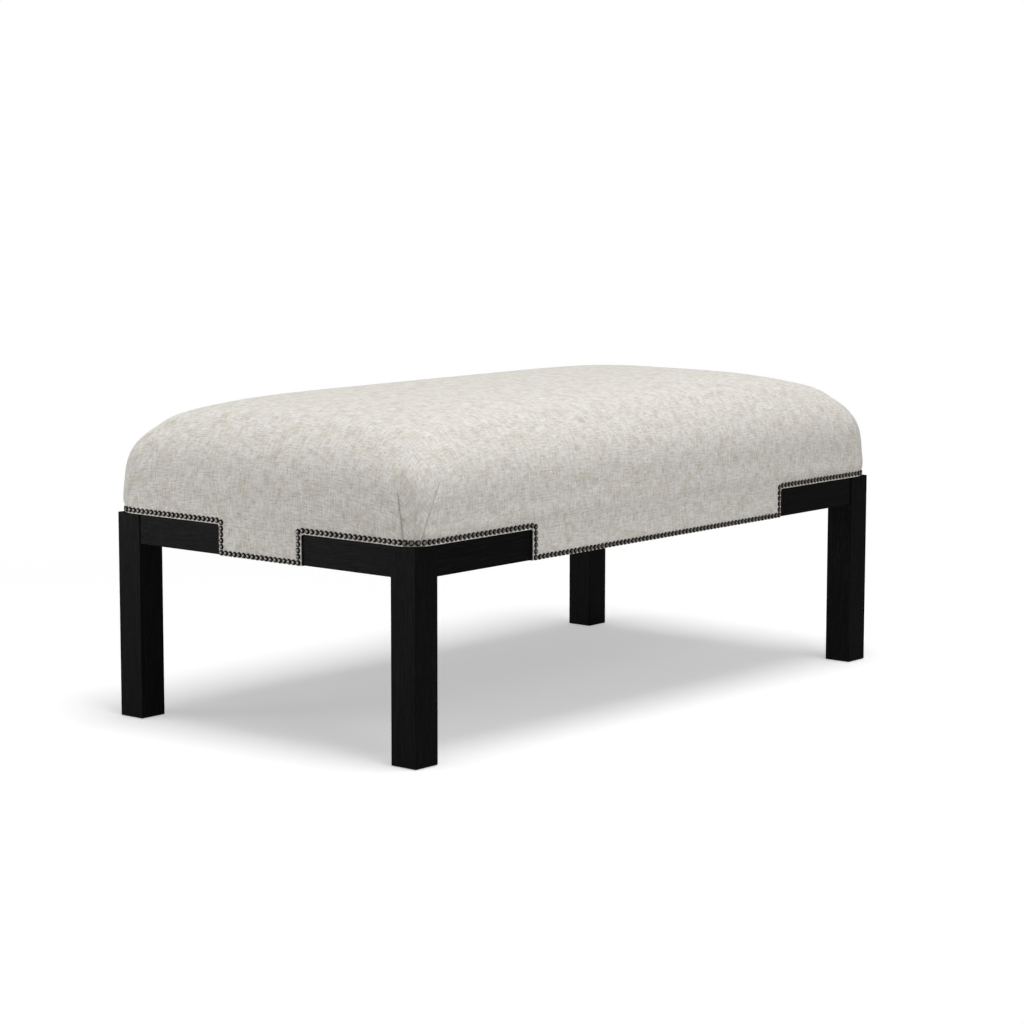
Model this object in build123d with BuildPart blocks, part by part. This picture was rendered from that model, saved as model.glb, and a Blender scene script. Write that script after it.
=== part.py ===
from build123d import *
import math
import os

# Ottoman coffee table: an upholstered top on a timber frame, carried by four legs with short show rails.
# Millimetres, +Z up, +X along the long side, origin on the floor under the middle of the table.

# Overall
table_length = 1220.0
table_width = 645.0
leg_height = 336.0
leg_section = 50.0
pad_height = 147.7

# Legs
leg_arris = 1.0
foot_chamfer = 1.0
seat_chamfer = 14.0

# Glides under the legs
glide_radius = 11.0
glide_thick = 4.0
glide_proud = 1.0
glide_edge = 0.6
glide_nail_radius = 1.25
glide_nail_length = 16.0

# Show rails, two at each leg
rail_depth = 48.5
rail_thick = 22.0
rail_recess = 1.5
rail_arris = 1.0
rail_end_round = 4.5
long_rail_reach = 273.0
short_rail_reach = 233.0

# Dowels between show rails and legs
dowel_radius = 5.0
dowel_length = 40.0
dowel_spacing = 24.0
dowel_relief = 1.0
dowel_chamfer = 1.0

# Fabric cover, its skirts and the corners of the top in plan
fabric_thick = 1.6
fabric_proud = 2.0
fabric_corner = 34.5
skirt_drop = 1.0

# Layers inside the pad
soft_gap = 0.3
wadding_thick = 10.0
least_corner = 3.0

# How far the pad's shoulders draw in. Each row: share of the pad's height, shares of shoulder for how
# far the level is drawn in and for what is added to its corner radius.
shoulder = 80.0
shoulder_shares = (
    (0.0, 0.0, 0.0),
    (0.21, 0.023, 0.0),
    (0.41, 0.11, 0.01),
    (0.565, 0.26, 0.12),
    (0.67, 0.418, 0.26),
    (0.765, 0.616, 0.443),
)
# The crowned top. Each row: share of the pad's height, shares of half the length and of half the width
# that the level spans, and the share of its half width that its corners are rounded by.
crown_shares = (
    (0.82, 0.9, 0.809, 0.367),
    (0.872, 0.874, 0.76, 0.533),
    (0.913, 0.829, 0.684, 0.589),
    (0.946, 0.777, 0.599, 0.634),
    (0.967, 0.726, 0.522, 0.671),
    (0.983, 0.662, 0.433, 0.712),
    (0.994, 0.574, 0.324, 0.768),
    (1.0, 0.43, 0.18, 0.8),
)

# Frame under the pad
apron_rise = 30.0
deck_thick = 12.0
frame_rail_thick = 22.0
frame_rail_lift = 4.0
frame_arris = 1.5
slat_width = 70.0
slat_thick = 20.0
slat_pitch = 300.0

# Corner blocks and the bolts that draw the legs onto them
block_thick = 25.0
block_clear = 2.0
bolt_radius = 4.0
bolt_bite = 45.0
bolt_stub = 3.0
bolt_chamfer = 0.8
washer_radius = 11.0
washer_thick = 1.6
nut_across_flats = 13.0
nut_thick = 6.5
fit_gap = 0.1

# Wood screws, all countersunk, and where they sit
screw_head_radius = 4.0
screw_shank_radius = 2.0
short_screw = 35.0
long_screw = 50.0
block_screw = 32.0
block_screw_grip = 14.0
block_screw_edge = 17.0
show_rail_screw_inset = 43.0
show_rail_screw_pitch = 90.0
short_rail_screw_inset = 31.0
short_rail_screw_pitch = 70.0
skirt_screw_pitch = 150.0
short_skirt_screw_pitch = 90.0
apron_screw_pitch = 300.0
short_apron_screw_pitch = 220.0
apron_screw_height = 15.0
slat_screw_spacing = 40.0
deck_screw_pitch = 200.0
short_deck_screw_pitch = 160.0
slat_deck_screw_spacing = 180.0

# Studs of the nailhead trim
stud_radius = 4.75
stud_height = 2.7
stud_shank_radius = 0.7
stud_length = 12.0
stud_point = 2.0
stud_pitch = 9.9
stud_row_offset = 6.0
stud_turn_drop = 2.5
stud_skirt_edge = 4.9

# Dust cover under the frame, and the staples
dust_cover_thick = 0.6
dust_cover_margin = 2.0
dust_cover_notch = 4.0
staple_crown = 10.0
staple_width = 1.2
staple_wire = 0.6
staple_leg = 8.0
staple_pitch = 110.0

# One overrun for all cuts
overrun = 5.0

# Places worked out from the sizes above
half_length = table_length / 2
half_width = table_width / 2
leg_x = half_length - leg_section / 2
leg_y = half_width - leg_section / 2
leg_inner_x = half_length - leg_section
leg_inner_y = half_width - leg_section
rail_x = half_length - long_rail_reach
rail_y = half_width - short_rail_reach
wall_x = half_length - rail_recess - rail_thick
wall_y = half_width - rail_recess - rail_thick
fabric_x = half_length + fabric_proud
fabric_y = half_width + fabric_proud
apron_x = fabric_x - fabric_thick
apron_y = fabric_y - fabric_thick
apron_corner = fabric_corner - fabric_thick
inner_x = wall_x - frame_rail_thick
inner_y = wall_y - frame_rail_thick
rail_bottom = leg_height - rail_depth
rail_middle = leg_height - rail_depth / 2
skirt_bottom = rail_bottom - skirt_drop
apron_bottom = skirt_bottom + fabric_thick
frame_bottom = rail_bottom + frame_rail_lift
deck_bottom = leg_height + apron_rise
deck_top = deck_bottom + deck_thick
apron_screw_z = leg_height + apron_screw_height
slat_middle = deck_bottom - slat_thick / 2

# The corner block lies across the corner: its outer and inner faces are where |x| + |y| has these values
block_outer = leg_inner_x + leg_inner_y + seat_chamfer
block_inner = block_outer - block_thick * math.sqrt(2)
frame_rail_x = block_inner - wall_y - block_clear
frame_rail_y = block_inner - wall_x - block_clear

corners = {
    "front_left": (-1, -1),
    "front_right": (1, -1),
    "back_left": (-1, 1),
    "back_right": (1, 1),
}
long_sides = {"front": -1, "back": 1}
short_sides = {"left": -1, "right": 1}
both_ways = (-1, 1)

os.makedirs("parts", exist_ok=True)


def facing(x, y, z, direction):
    """A place at x, y, z whose own Z axis points along direction."""
    return Plane(origin=(x, y, z), z_dir=direction).location


def cut_at(piece, places, tool):
    """Cut the tool from the piece being built at each of the places that it reaches the piece from."""
    box = piece.part.bounding_box()
    reach = tool.bounding_box().diagonal
    near = [
        place
        for place in places
        if all(low - reach < p < high + reach for p, low, high in zip(place.position, box.min, box.max))
    ]
    with Locations(*near):
        add(tool, clean=False, mode=Mode.SUBTRACT)


def wood_screw(length, gap=0.0):
    """A countersunk wood screw, the top of its head on XY, its point down. With a gap it is the hole."""
    head = screw_head_radius + gap
    shank = screw_shank_radius + gap
    with BuildPart() as screw:
        with BuildSketch(Plane.XZ):
            with BuildLine():
                Polyline(
                    (0, 0),
                    (head, 0),
                    (shank, shank - head),
                    (shank, shank - length),
                    (0, -length - gap),
                    close=True,
                )
            make_face()
        revolve(axis=Axis.Z)
    return screw.part


def block_screw_places(sx, sy):
    """Two screws in each end of a corner block: one into the show rail, one into the apron above it."""
    along_x = block_inner - wall_y + block_screw_edge
    along_y = block_inner - wall_x + block_screw_edge
    places = []
    for height in (rail_middle, apron_screw_z):
        places.append(facing(sx * along_x, sy * (wall_y - block_screw_grip), height, (0, -sy, 0)))
        places.append(facing(sx * (wall_x - block_screw_grip), sy * along_y, height, (-sx, 0, 0)))
    return places


def bolt_place(sx, sy):
    """The middle of the leg's seat for the corner block, facing into the table."""
    inward = seat_chamfer / 2
    return facing(sx * (leg_inner_x + inward), sy * (leg_inner_y + inward), rail_middle, (-sx, -sy, 0))


def dowel_places(sx, sy):
    """Two dowels between the leg and each of its two show rails."""
    across_y = half_width - rail_recess - rail_thick / 2
    across_x = half_length - rail_recess - rail_thick / 2
    places = []
    for up in both_ways:
        height = rail_middle + up * dowel_spacing / 2
        places.append(facing(sx * leg_inner_x, sy * across_y, height, (1, 0, 0)))
        places.append(facing(sx * across_x, sy * leg_inner_y, height, (0, 1, 0)))
    return places


def frame_screw_places():
    """Screws from inside through the frame rails, into the show rails and into the aprons."""
    show, apron = [], []
    for s in both_ways:
        for t in both_ways:
            for step in (0, 1):
                x = t * (rail_x + show_rail_screw_inset + step * show_rail_screw_pitch)
                y = t * (rail_y + short_rail_screw_inset + step * short_rail_screw_pitch)
                show.append(facing(x, s * inner_y, rail_middle, (0, -s, 0)))
                show.append(facing(s * inner_x, y, rail_middle, (-s, 0, 0)))
            for step in (0.5, 1.5):
                apron.append(facing(t * step * skirt_screw_pitch, s * inner_y, rail_middle, (0, -s, 0)))
                apron.append(facing(t * step * apron_screw_pitch, s * inner_y, apron_screw_z, (0, -s, 0)))
            y_low = t * short_skirt_screw_pitch / 2
            y_high = t * short_apron_screw_pitch / 2
            apron.append(facing(s * inner_x, y_low, rail_middle, (-s, 0, 0)))
            apron.append(facing(s * inner_x, y_high, apron_screw_z, (-s, 0, 0)))
    return show, apron


def slat_screw_places():
    """Two screws through the long frame rails into each end of each slat."""
    places = []
    for s in both_ways:
        for step in (-1, 0, 1):
            for t in both_ways:
                x = step * slat_pitch + t * slat_screw_spacing / 2
                places.append(facing(x, s * wall_y, slat_middle, (0, s, 0)))
    return places


def deck_screw_places():
    """Screws down through the deck into the frame rails, the corner blocks and the slats."""
    places = []
    for s in both_ways:
        y = s * (wall_y + inner_y) / 2
        x = s * (wall_x + inner_x) / 2
        places += [facing(step * deck_screw_pitch, y, deck_top, (0, 0, 1)) for step in range(-2, 3)]
        places += [facing(x, step * short_deck_screw_pitch, deck_top, (0, 0, 1)) for step in (-1, 0, 1)]
        for step in (-1, 0, 1):
            places.append(facing(step * slat_pitch, s * slat_deck_screw_spacing / 2, deck_top, (0, 0, 1)))
        for t in both_ways:
            middle_x = (wall_x + (block_outer + block_inner) / 2 - wall_y) / 2
            middle_y = (wall_y + (block_outer + block_inner) / 2 - wall_x) / 2
            places.append(facing(t * middle_x, s * middle_y, deck_top, (0, 0, 1)))
    return places


def staple_places(half_x, half_y, height, long_reach, short_reach):
    """Staples in rows along all four sides, crowns along the side and outwards faces down."""
    places = []
    for s in both_ways:
        count = round(2 * long_reach / staple_pitch)
        for i in range(count):
            x = long_reach * (2 * i + 1 - count) / count
            places.append(Plane(origin=(x, s * half_y, height), x_dir=(1, 0, 0), z_dir=(0, 0, -1)).location)
        count = max(round(2 * short_reach / staple_pitch), 1)
        for i in range(count):
            y = short_reach * (2 * i + 1 - count) / count
            places.append(Plane(origin=(s * half_x, y, height), x_dir=(0, 1, 0), z_dir=(0, 0, -1)).location)
    return places


def stud_corner_places(sx, sy):
    """Studs round one leg: above its show rails, round the corner, and down beside both rail ends."""
    row_z = leg_height + stud_row_offset
    turn_z = row_z - stud_turn_drop
    low_z = skirt_bottom + stud_skirt_edge
    start_x = rail_x - stud_row_offset
    start_y = rail_y - stud_row_offset
    drops = round((turn_z - low_z) / stud_pitch)
    places = []
    for i in range(1, drops + 1):
        z = low_z + (turn_z - low_z) * i / drops
        places.append(facing(sx * start_x, sy * fabric_y, z, (0, sy, 0)))
        places.append(facing(sx * fabric_x, sy * start_y, z, (sx, 0, 0)))
    turn = math.sqrt(stud_pitch**2 - stud_turn_drop**2)
    long_run = fabric_x - fabric_corner - start_x - turn
    short_run = fabric_y - fabric_corner - start_y - turn
    arc_run = fabric_corner * math.pi / 2
    run = long_run + arc_run + short_run
    count = round(run / stud_pitch)
    for i in range(count + 1):
        gone = run * i / count
        angle = min(max((gone - long_run) / fabric_corner, 0), math.pi / 2)
        normal = (math.sin(angle), math.cos(angle))
        x = fabric_x - fabric_corner + fabric_corner * normal[0] - max(long_run - gone, 0)
        y = fabric_y - fabric_corner + fabric_corner * normal[1] - max(gone - long_run - arc_run, 0)
        places.append(facing(sx * x, sy * y, row_z, (sx * normal[0], sy * normal[1], 0)))
    return places


def stud_skirt_places(side):
    """Studs along one skirt's lower edge, from rail end to rail end."""
    z = skirt_bottom + stud_skirt_edge
    on_long = side in long_sides
    reach = (rail_x if on_long else rail_y) - stud_row_offset
    count = round(2 * reach / stud_pitch)
    places = []
    for i in range(count + 1):
        along = reach * (2 * i - count) / count
        if on_long:
            s = long_sides[side]
            places.append(facing(along, s * fabric_y, z, (0, s, 0)))
        else:
            s = short_sides[side]
            places.append(facing(s * fabric_x, along, z, (s, 0, 0)))
    return places


def make_stud():
    """One stud: a domed head standing on XY and a pointed shank below it."""
    with BuildPart() as stud:
        with BuildSketch(Plane.XZ):
            with BuildLine():
                Line((0, stud_height), (0, -stud_length))
                Line((0, -stud_length), (stud_shank_radius, stud_point - stud_length))
                Line((stud_shank_radius, stud_point - stud_length), (stud_shank_radius, 0))
                Line((stud_shank_radius, 0), (stud_radius, 0))
                TangentArc((0, stud_height), (stud_radius, 0), tangent=(1, 0), tangent_from_first=True)
            make_face()
        revolve(axis=Axis.Z)
    return stud.part


def make_stud_hole():
    """The hole for a stud's shank, open to both sides of XY."""
    with BuildPart() as hole:
        Cylinder(stud_shank_radius + fit_gap, 2 * stud_length)
    return hole.part


def make_staple():
    """One staple: its crown lies on XY along X, its two legs go down."""
    with BuildPart() as staple:
        with BuildSketch(Plane.XZ):
            with Locations((0, staple_wire / 2)):
                Rectangle(staple_crown, staple_wire)
            with Locations(*[(s * (staple_crown - staple_wire) / 2, -staple_leg / 2) for s in both_ways]):
                Rectangle(staple_wire, staple_leg)
        extrude(amount=staple_width / 2, both=True)
    return staple.part


def make_staple_holes():
    """The holes for a staple's two legs, open to both sides of XY."""
    with BuildPart() as holes:
        with Locations(*[(s * (staple_crown - staple_wire) / 2, 0) for s in both_ways]):
            Box(staple_wire + 2 * fit_gap, staple_width + 2 * fit_gap, 2 * (staple_leg + fit_gap))
    return holes.part


def cut_rail_seats(long_signs, short_signs):
    """Cut away what the legs and show rails take up, with the rails' rounded end corners."""
    depth = leg_height - skirt_bottom + overrun
    for s in long_signs:
        with BuildSketch(Plane.XZ.offset(-s * wall_y)) as seat:
            with Locations((rail_x, leg_height)):
                Rectangle(long_rail_reach + overrun, depth, align=(Align.MIN, Align.MAX))
            with Locations((-rail_x, leg_height)):
                Rectangle(long_rail_reach + overrun, depth, align=(Align.MAX, Align.MAX))
            ends = seat.vertices().group_by(Axis.Y)[-1].sort_by(lambda v: abs(v.X))[:2]
            fillet(ends, rail_end_round)
        extrude(seat.sketch, amount=-s * (fabric_y - wall_y + overrun), mode=Mode.SUBTRACT)
    for s in short_signs:
        with BuildSketch(Plane.YZ.offset(s * wall_x)) as seat:
            with Locations((rail_y, leg_height)):
                Rectangle(short_rail_reach + overrun, depth, align=(Align.MIN, Align.MAX))
            with Locations((-rail_y, leg_height)):
                Rectangle(short_rail_reach + overrun, depth, align=(Align.MAX, Align.MAX))
            ends = seat.vertices().group_by(Axis.Y)[-1].sort_by(lambda v: abs(v.X))[:2]
            fillet(ends, rail_end_round)
        extrude(seat.sketch, amount=s * (fabric_x - wall_x + overrun), mode=Mode.SUBTRACT)


def loft_pad(inset, mode=Mode.ADD):
    """Loft the pad's levels, drawn in and lowered by inset, from the deck to the crown."""
    rise = pad_height - inset
    span_x = fabric_x - inset
    span_y = fabric_y - inset
    corner = fabric_corner - inset
    levels = []
    for height_share, drawn_share, round_share in shoulder_shares:
        drawn = drawn_share * shoulder
        with BuildSketch(Plane.XY.offset(deck_top + height_share * rise)) as level:
            radius = max(corner + round_share * shoulder, least_corner)
            RectangleRounded(2 * (span_x - drawn), 2 * (span_y - drawn), radius)
        levels.append(level.sketch)
    for height_share, length_share, width_share, round_share in crown_shares:
        with BuildSketch(Plane.XY.offset(deck_top + height_share * rise)) as level:
            level_y = span_y * width_share
            RectangleRounded(2 * span_x * length_share, 2 * level_y, level_y * round_share)
        levels.append(level.sketch)
    loft(levels, ruled=True, mode=mode)


short_wood_screw = wood_screw(short_screw)
short_screw_hole = wood_screw(short_screw, fit_gap)
long_wood_screw = wood_screw(long_screw)
long_screw_hole = wood_screw(long_screw, fit_gap)
block_wood_screw = wood_screw(block_screw)
block_screw_hole = wood_screw(block_screw, fit_gap)
stud = make_stud()
stud_hole = make_stud_hole()
staple = make_staple()
staple_holes = make_staple_holes()

show_rail_screws, apron_screws = frame_screw_places()
block_screws = [place for corner in corners.values() for place in block_screw_places(*corner)]
slat_screws = slat_screw_places()
deck_screws = deck_screw_places()
corner_studs = {corner: stud_corner_places(sx, sy) for corner, (sx, sy) in corners.items()}
skirt_studs = {side: stud_skirt_places(side) for side in (*long_sides, *short_sides)}
all_studs = [place for row in (*corner_studs.values(), *skirt_studs.values()) for place in row]
fabric_staples = staple_places(
    (wall_x + apron_x) / 2, (wall_y + apron_y) / 2, skirt_bottom, rail_x, rail_y
)
dust_cover_bottom = frame_bottom - dust_cover_thick
dust_cover_staples = staple_places(
    (wall_x + inner_x) / 2, (wall_y + inner_y) / 2, dust_cover_bottom, frame_rail_x, frame_rail_y
)


def make_leg(corner, sx, sy):
    """One square leg, with a seat for the corner block, dowel and bolt holes and its glide's recess."""
    with BuildPart() as leg:
        with BuildSketch(Plane.XY.offset(glide_proud)):
            with Locations((sx * leg_x, sy * leg_y)):
                Rectangle(leg_section, leg_section)
        extrude(amount=leg_height - glide_proud)
        fillet(leg.edges().filter_by(Axis.Z), leg_arris)
        chamfer(leg.faces().sort_by(Axis.Z)[0].edges(), foot_chamfer)
        near_x, near_y = leg_inner_x - overrun, leg_inner_y - overrun
        with BuildSketch(Plane.XY.offset(frame_bottom)):
            with BuildLine():
                Polyline(
                    (sx * near_x, sy * near_y),
                    (sx * (block_outer - near_y), sy * near_y),
                    (sx * near_x, sy * (block_outer - near_x)),
                    close=True,
                )
            make_face()
        extrude(amount=leg_height - frame_bottom + overrun, mode=Mode.SUBTRACT)
        with BuildSketch(Plane.XY.offset(glide_proud)):
            with Locations((sx * leg_x, sy * leg_y)):
                Circle(glide_radius + fit_gap)
        extrude(amount=glide_thick - glide_proud, mode=Mode.SUBTRACT)
        with BuildSketch(Plane.XY.offset(glide_thick)):
            with Locations((sx * leg_x, sy * leg_y)):
                Circle(glide_nail_radius)
        extrude(amount=glide_nail_length, mode=Mode.SUBTRACT)
        with Locations(*dowel_places(sx, sy)):
            Cylinder(dowel_radius, dowel_length + 2 * dowel_relief, mode=Mode.SUBTRACT)
        with Locations(bolt_place(sx, sy)):
            Cylinder(bolt_radius, 2 * bolt_bite, mode=Mode.SUBTRACT)
    leg.part.label = f"leg_{corner}"
    export_step(leg.part, f"parts/leg_{corner}.step")


def make_long_show_rail(corner, sx, sy):
    """The show rail that runs from a leg along the long side."""
    with BuildPart() as rail:
        with BuildSketch(Plane.XZ.offset(-sy * (wall_y + rail_thick))) as face:
            with Locations((sx * rail_x, rail_bottom)):
                side = Align.MIN if sx > 0 else Align.MAX
                Rectangle(leg_inner_x - rail_x, rail_depth, align=(side, Align.MIN))
            fillet(face.vertices().group_by(Axis.Y)[-1].sort_by(lambda v: abs(v.X))[0], rail_end_round)
        extrude(amount=sy * rail_thick)
        outer = rail.faces().sort_by(Axis.Y)[-1 if sy > 0 else 0]
        fillet(outer.edges(), rail_arris)
        with Locations(*dowel_places(sx, sy)[::2]):
            Cylinder(dowel_radius, dowel_length + 2 * dowel_relief, mode=Mode.SUBTRACT)
        cut_at(rail, show_rail_screws, short_screw_hole)
        cut_at(rail, block_screw_places(sx, sy), block_screw_hole)
    rail.part.label = f"show_rail_{corner}_long"
    export_step(rail.part, f"parts/show_rail_{corner}_long.step")


def make_short_show_rail(corner, sx, sy):
    """The show rail that runs from a leg along the short side."""
    with BuildPart() as rail:
        with BuildSketch(Plane.YZ.offset(sx * (wall_x + rail_thick))) as face:
            with Locations((sy * rail_y, rail_bottom)):
                side = Align.MIN if sy > 0 else Align.MAX
                Rectangle(leg_inner_y - rail_y, rail_depth, align=(side, Align.MIN))
            fillet(face.vertices().group_by(Axis.Y)[-1].sort_by(lambda v: abs(v.X))[0], rail_end_round)
        extrude(amount=-sx * rail_thick)
        outer = rail.faces().sort_by(Axis.X)[-1 if sx > 0 else 0]
        fillet(outer.edges(), rail_arris)
        with Locations(*dowel_places(sx, sy)[1::2]):
            Cylinder(dowel_radius, dowel_length + 2 * dowel_relief, mode=Mode.SUBTRACT)
        cut_at(rail, show_rail_screws, short_screw_hole)
        cut_at(rail, block_screw_places(sx, sy), block_screw_hole)
    rail.part.label = f"show_rail_{corner}_short"
    export_step(rail.part, f"parts/show_rail_{corner}_short.step")


def make_corner_block(corner, sx, sy):
    """A block across the corner behind a leg, glued and screwed to its show rails and aprons."""
    with BuildPart() as block:
        with BuildSketch(Plane.XY.offset(frame_bottom)):
            with BuildLine():
                Polyline(
                    (sx * (block_outer - wall_y), sy * wall_y),
                    (sx * wall_x, sy * (block_outer - wall_x)),
                    (sx * wall_x, sy * (block_inner - wall_x)),
                    (sx * (block_inner - wall_y), sy * wall_y),
                    close=True,
                )
            make_face()
        extrude(amount=deck_bottom - frame_bottom)
        with Locations(bolt_place(sx, sy)):
            Cylinder(bolt_radius + fit_gap, 2 * (block_thick + overrun), mode=Mode.SUBTRACT)
        cut_at(block, block_screw_places(sx, sy), block_screw_hole)
        with Locations(*block_screw_places(sx, sy)):
            Cylinder(
                screw_head_radius + fit_gap,
                block_thick,
                align=(Align.CENTER, Align.CENTER, Align.MIN),
                mode=Mode.SUBTRACT,
            )
        cut_at(block, deck_screws, short_screw_hole)
    block.part.label = f"corner_block_{corner}"
    export_step(block.part, f"parts/corner_block_{corner}.step")


def make_long_apron(side, s):
    """A plywood apron under the fabric of a long side: a full-length band with the skirt's backing below."""
    with BuildPart() as apron:
        with BuildSketch(Plane.XY.offset(apron_bottom)):
            RectangleRounded(2 * apron_x, 2 * apron_y, apron_corner)
            with Locations((0, s * (wall_y + apron_y) / 2)):
                Rectangle(2 * apron_x, apron_y - wall_y, mode=Mode.INTERSECT)
        extrude(amount=deck_bottom - apron_bottom)
        cut_rail_seats((s,), ())
        cut_at(apron, all_studs, stud_hole)
        cut_at(apron, apron_screws, short_screw_hole)
        cut_at(apron, block_screws, block_screw_hole)
        cut_at(apron, fabric_staples, staple_holes)
    apron.part.label = f"apron_{side}"
    export_step(apron.part, f"parts/apron_{side}.step")


def make_short_apron(side, s):
    """A plywood apron under the fabric of a short side, between the two long ones."""
    with BuildPart() as apron:
        with BuildSketch(Plane.XY.offset(apron_bottom)):
            RectangleRounded(2 * apron_x, 2 * apron_y, apron_corner)
            with Locations((s * (wall_x + apron_x) / 2, 0)):
                Rectangle(apron_x - wall_x, 2 * wall_y, mode=Mode.INTERSECT)
        extrude(amount=deck_bottom - apron_bottom)
        cut_rail_seats((), (s,))
        cut_at(apron, all_studs, stud_hole)
        cut_at(apron, apron_screws, short_screw_hole)
        cut_at(apron, block_screws, block_screw_hole)
        cut_at(apron, fabric_staples, staple_holes)
    apron.part.label = f"apron_{side}"
    export_step(apron.part, f"parts/apron_{side}.step")


def make_frame_rail(side, s):
    """An inner frame rail behind the apron and show rails of one side."""
    on_long = side in long_sides
    length, depth = (2 * frame_rail_x, frame_rail_thick) if on_long else (frame_rail_thick, 2 * frame_rail_y)
    middle = (0, s * (wall_y + inner_y) / 2) if on_long else (s * (wall_x + inner_x) / 2, 0)
    with BuildPart() as rail:
        with BuildSketch(Plane.XY.offset(frame_bottom)):
            with Locations(middle):
                Rectangle(length, depth)
        extrude(amount=deck_bottom - frame_bottom)
        inner = rail.faces().sort_by(Axis.Y if on_long else Axis.X)[0 if s > 0 else -1]
        lower = inner.edges().sort_by(Axis.Z)[0]
        fillet(lower, frame_arris)
        cut_at(rail, show_rail_screws + apron_screws + deck_screws, short_screw_hole)
        if on_long:
            cut_at(rail, slat_screws, long_screw_hole)
        cut_at(rail, dust_cover_staples, staple_holes)
    rail.part.label = f"frame_rail_{side}"
    export_step(rail.part, f"parts/frame_rail_{side}.step")


def make_slat(name, x):
    """A cross slat under the deck, between the long frame rails."""
    with BuildPart() as slat:
        with BuildSketch(Plane.XY.offset(deck_bottom - slat_thick)):
            with Locations((x, 0)):
                Rectangle(slat_width, 2 * inner_y)
        extrude(amount=slat_thick)
        edges = slat.faces().sort_by(Axis.Z)[0].edges().filter_by(Axis.Y)
        fillet(edges, frame_arris)
        cut_at(slat, slat_screws, long_screw_hole)
        cut_at(slat, deck_screws, short_screw_hole)
    slat.part.label = f"cross_slat_{name}"
    export_step(slat.part, f"parts/cross_slat_{name}.step")


for corner, (sx, sy) in corners.items():
    make_leg(corner, sx, sy)
    make_long_show_rail(corner, sx, sy)
    make_short_show_rail(corner, sx, sy)
    make_corner_block(corner, sx, sy)
for side, s in long_sides.items():
    make_long_apron(side, s)
    make_frame_rail(side, s)
for side, s in short_sides.items():
    make_short_apron(side, s)
    make_frame_rail(side, s)
for name, step in {"left": -1, "middle": 0, "right": 1}.items():
    make_slat(name, step * slat_pitch)

# Deck board that the pad is built on
with BuildPart() as deck_board:
    with BuildSketch(Plane.XY.offset(deck_bottom)):
        RectangleRounded(2 * apron_x, 2 * apron_y, apron_corner)
    extrude(amount=deck_thick)
    cut_at(deck_board, deck_screws, short_screw_hole)
deck_board.part.label = "deck_board"
export_step(deck_board.part, "parts/deck_board.step")

# Foam block
wadding_inset = fabric_thick + soft_gap
foam_inset = wadding_inset + wadding_thick + soft_gap
with BuildPart() as foam_block:
    loft_pad(foam_inset)
foam_block.part.label = "foam_block"
export_step(foam_block.part, "parts/foam_block.step")

# Wadding that wraps the foam
with BuildPart() as wadding:
    loft_pad(wadding_inset)
    loft_pad(foam_inset - soft_gap, Mode.SUBTRACT)
wadding.part.label = "wadding"
export_step(wadding.part, "parts/wadding.step")

# Fabric cover: pad, straight lower band, skirts and the hems turned under the aprons
with BuildPart() as fabric_cover:
    with BuildSketch(Plane.XY.offset(skirt_bottom)):
        RectangleRounded(2 * fabric_x, 2 * fabric_y, fabric_corner)
    extrude(amount=deck_top - skirt_bottom)
    loft_pad(0)
    with BuildSketch(Plane.XY.offset(apron_bottom)):
        RectangleRounded(2 * apron_x, 2 * apron_y, apron_corner)
    extrude(amount=deck_top - apron_bottom, mode=Mode.SUBTRACT)
    loft_pad(fabric_thick, Mode.SUBTRACT)
    with BuildSketch(Plane.XY.offset(skirt_bottom)):
        Rectangle(2 * wall_x, 2 * wall_y)
    extrude(amount=fabric_thick, mode=Mode.SUBTRACT)
    cut_rail_seats(both_ways, both_ways)
    cut_at(fabric_cover, all_studs, stud_hole)
    cut_at(fabric_cover, fabric_staples, staple_holes)
fabric_cover.part.label = "fabric_cover"
export_step(fabric_cover.part, "parts/fabric_cover.step")

# Dust cover, notched round the legs
with BuildPart() as dust_cover:
    with BuildSketch(Plane.XY.offset(dust_cover_bottom)):
        Rectangle(2 * (wall_x - dust_cover_margin), 2 * (wall_y - dust_cover_margin))
        with GridLocations(2 * wall_x, 2 * wall_y, 2, 2):
            notch_x = 2 * (wall_x - leg_inner_x + dust_cover_notch)
            notch_y = 2 * (wall_y - leg_inner_y + dust_cover_notch)
            Rectangle(notch_x, notch_y, mode=Mode.SUBTRACT)
    extrude(amount=dust_cover_thick)
    cut_at(dust_cover, dust_cover_staples, staple_holes)
dust_cover.part.label = "dust_cover"
export_step(dust_cover.part, "parts/dust_cover.step")

# Glides nailed under the legs
with BuildPart() as leg_glides:
    with BuildSketch(Plane.XY):
        with GridLocations(2 * leg_x, 2 * leg_y, 2, 2):
            Circle(glide_radius)
    extrude(amount=glide_thick)
    chamfer(leg_glides.edges().group_by(Axis.Z)[0], glide_edge)
    with BuildSketch(Plane.XY.offset(glide_thick)):
        with GridLocations(2 * leg_x, 2 * leg_y, 2, 2):
            Circle(glide_nail_radius)
    extrude(amount=glide_nail_length)
leg_glides.part.label = "leg_glides"
export_step(leg_glides.part, "parts/leg_glides.step")

# Dowels of the show rails
with BuildPart() as show_rail_dowels:
    with Locations(*[place for corner in corners.values() for place in dowel_places(*corner)]):
        Cylinder(dowel_radius, dowel_length)
    rims = show_rail_dowels.edges().filter_by(GeomType.CIRCLE)
    chamfer(rims, dowel_chamfer)
show_rail_dowels.part.label = "show_rail_dowels"
export_step(show_rail_dowels.part, "parts/show_rail_dowels.step")

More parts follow.
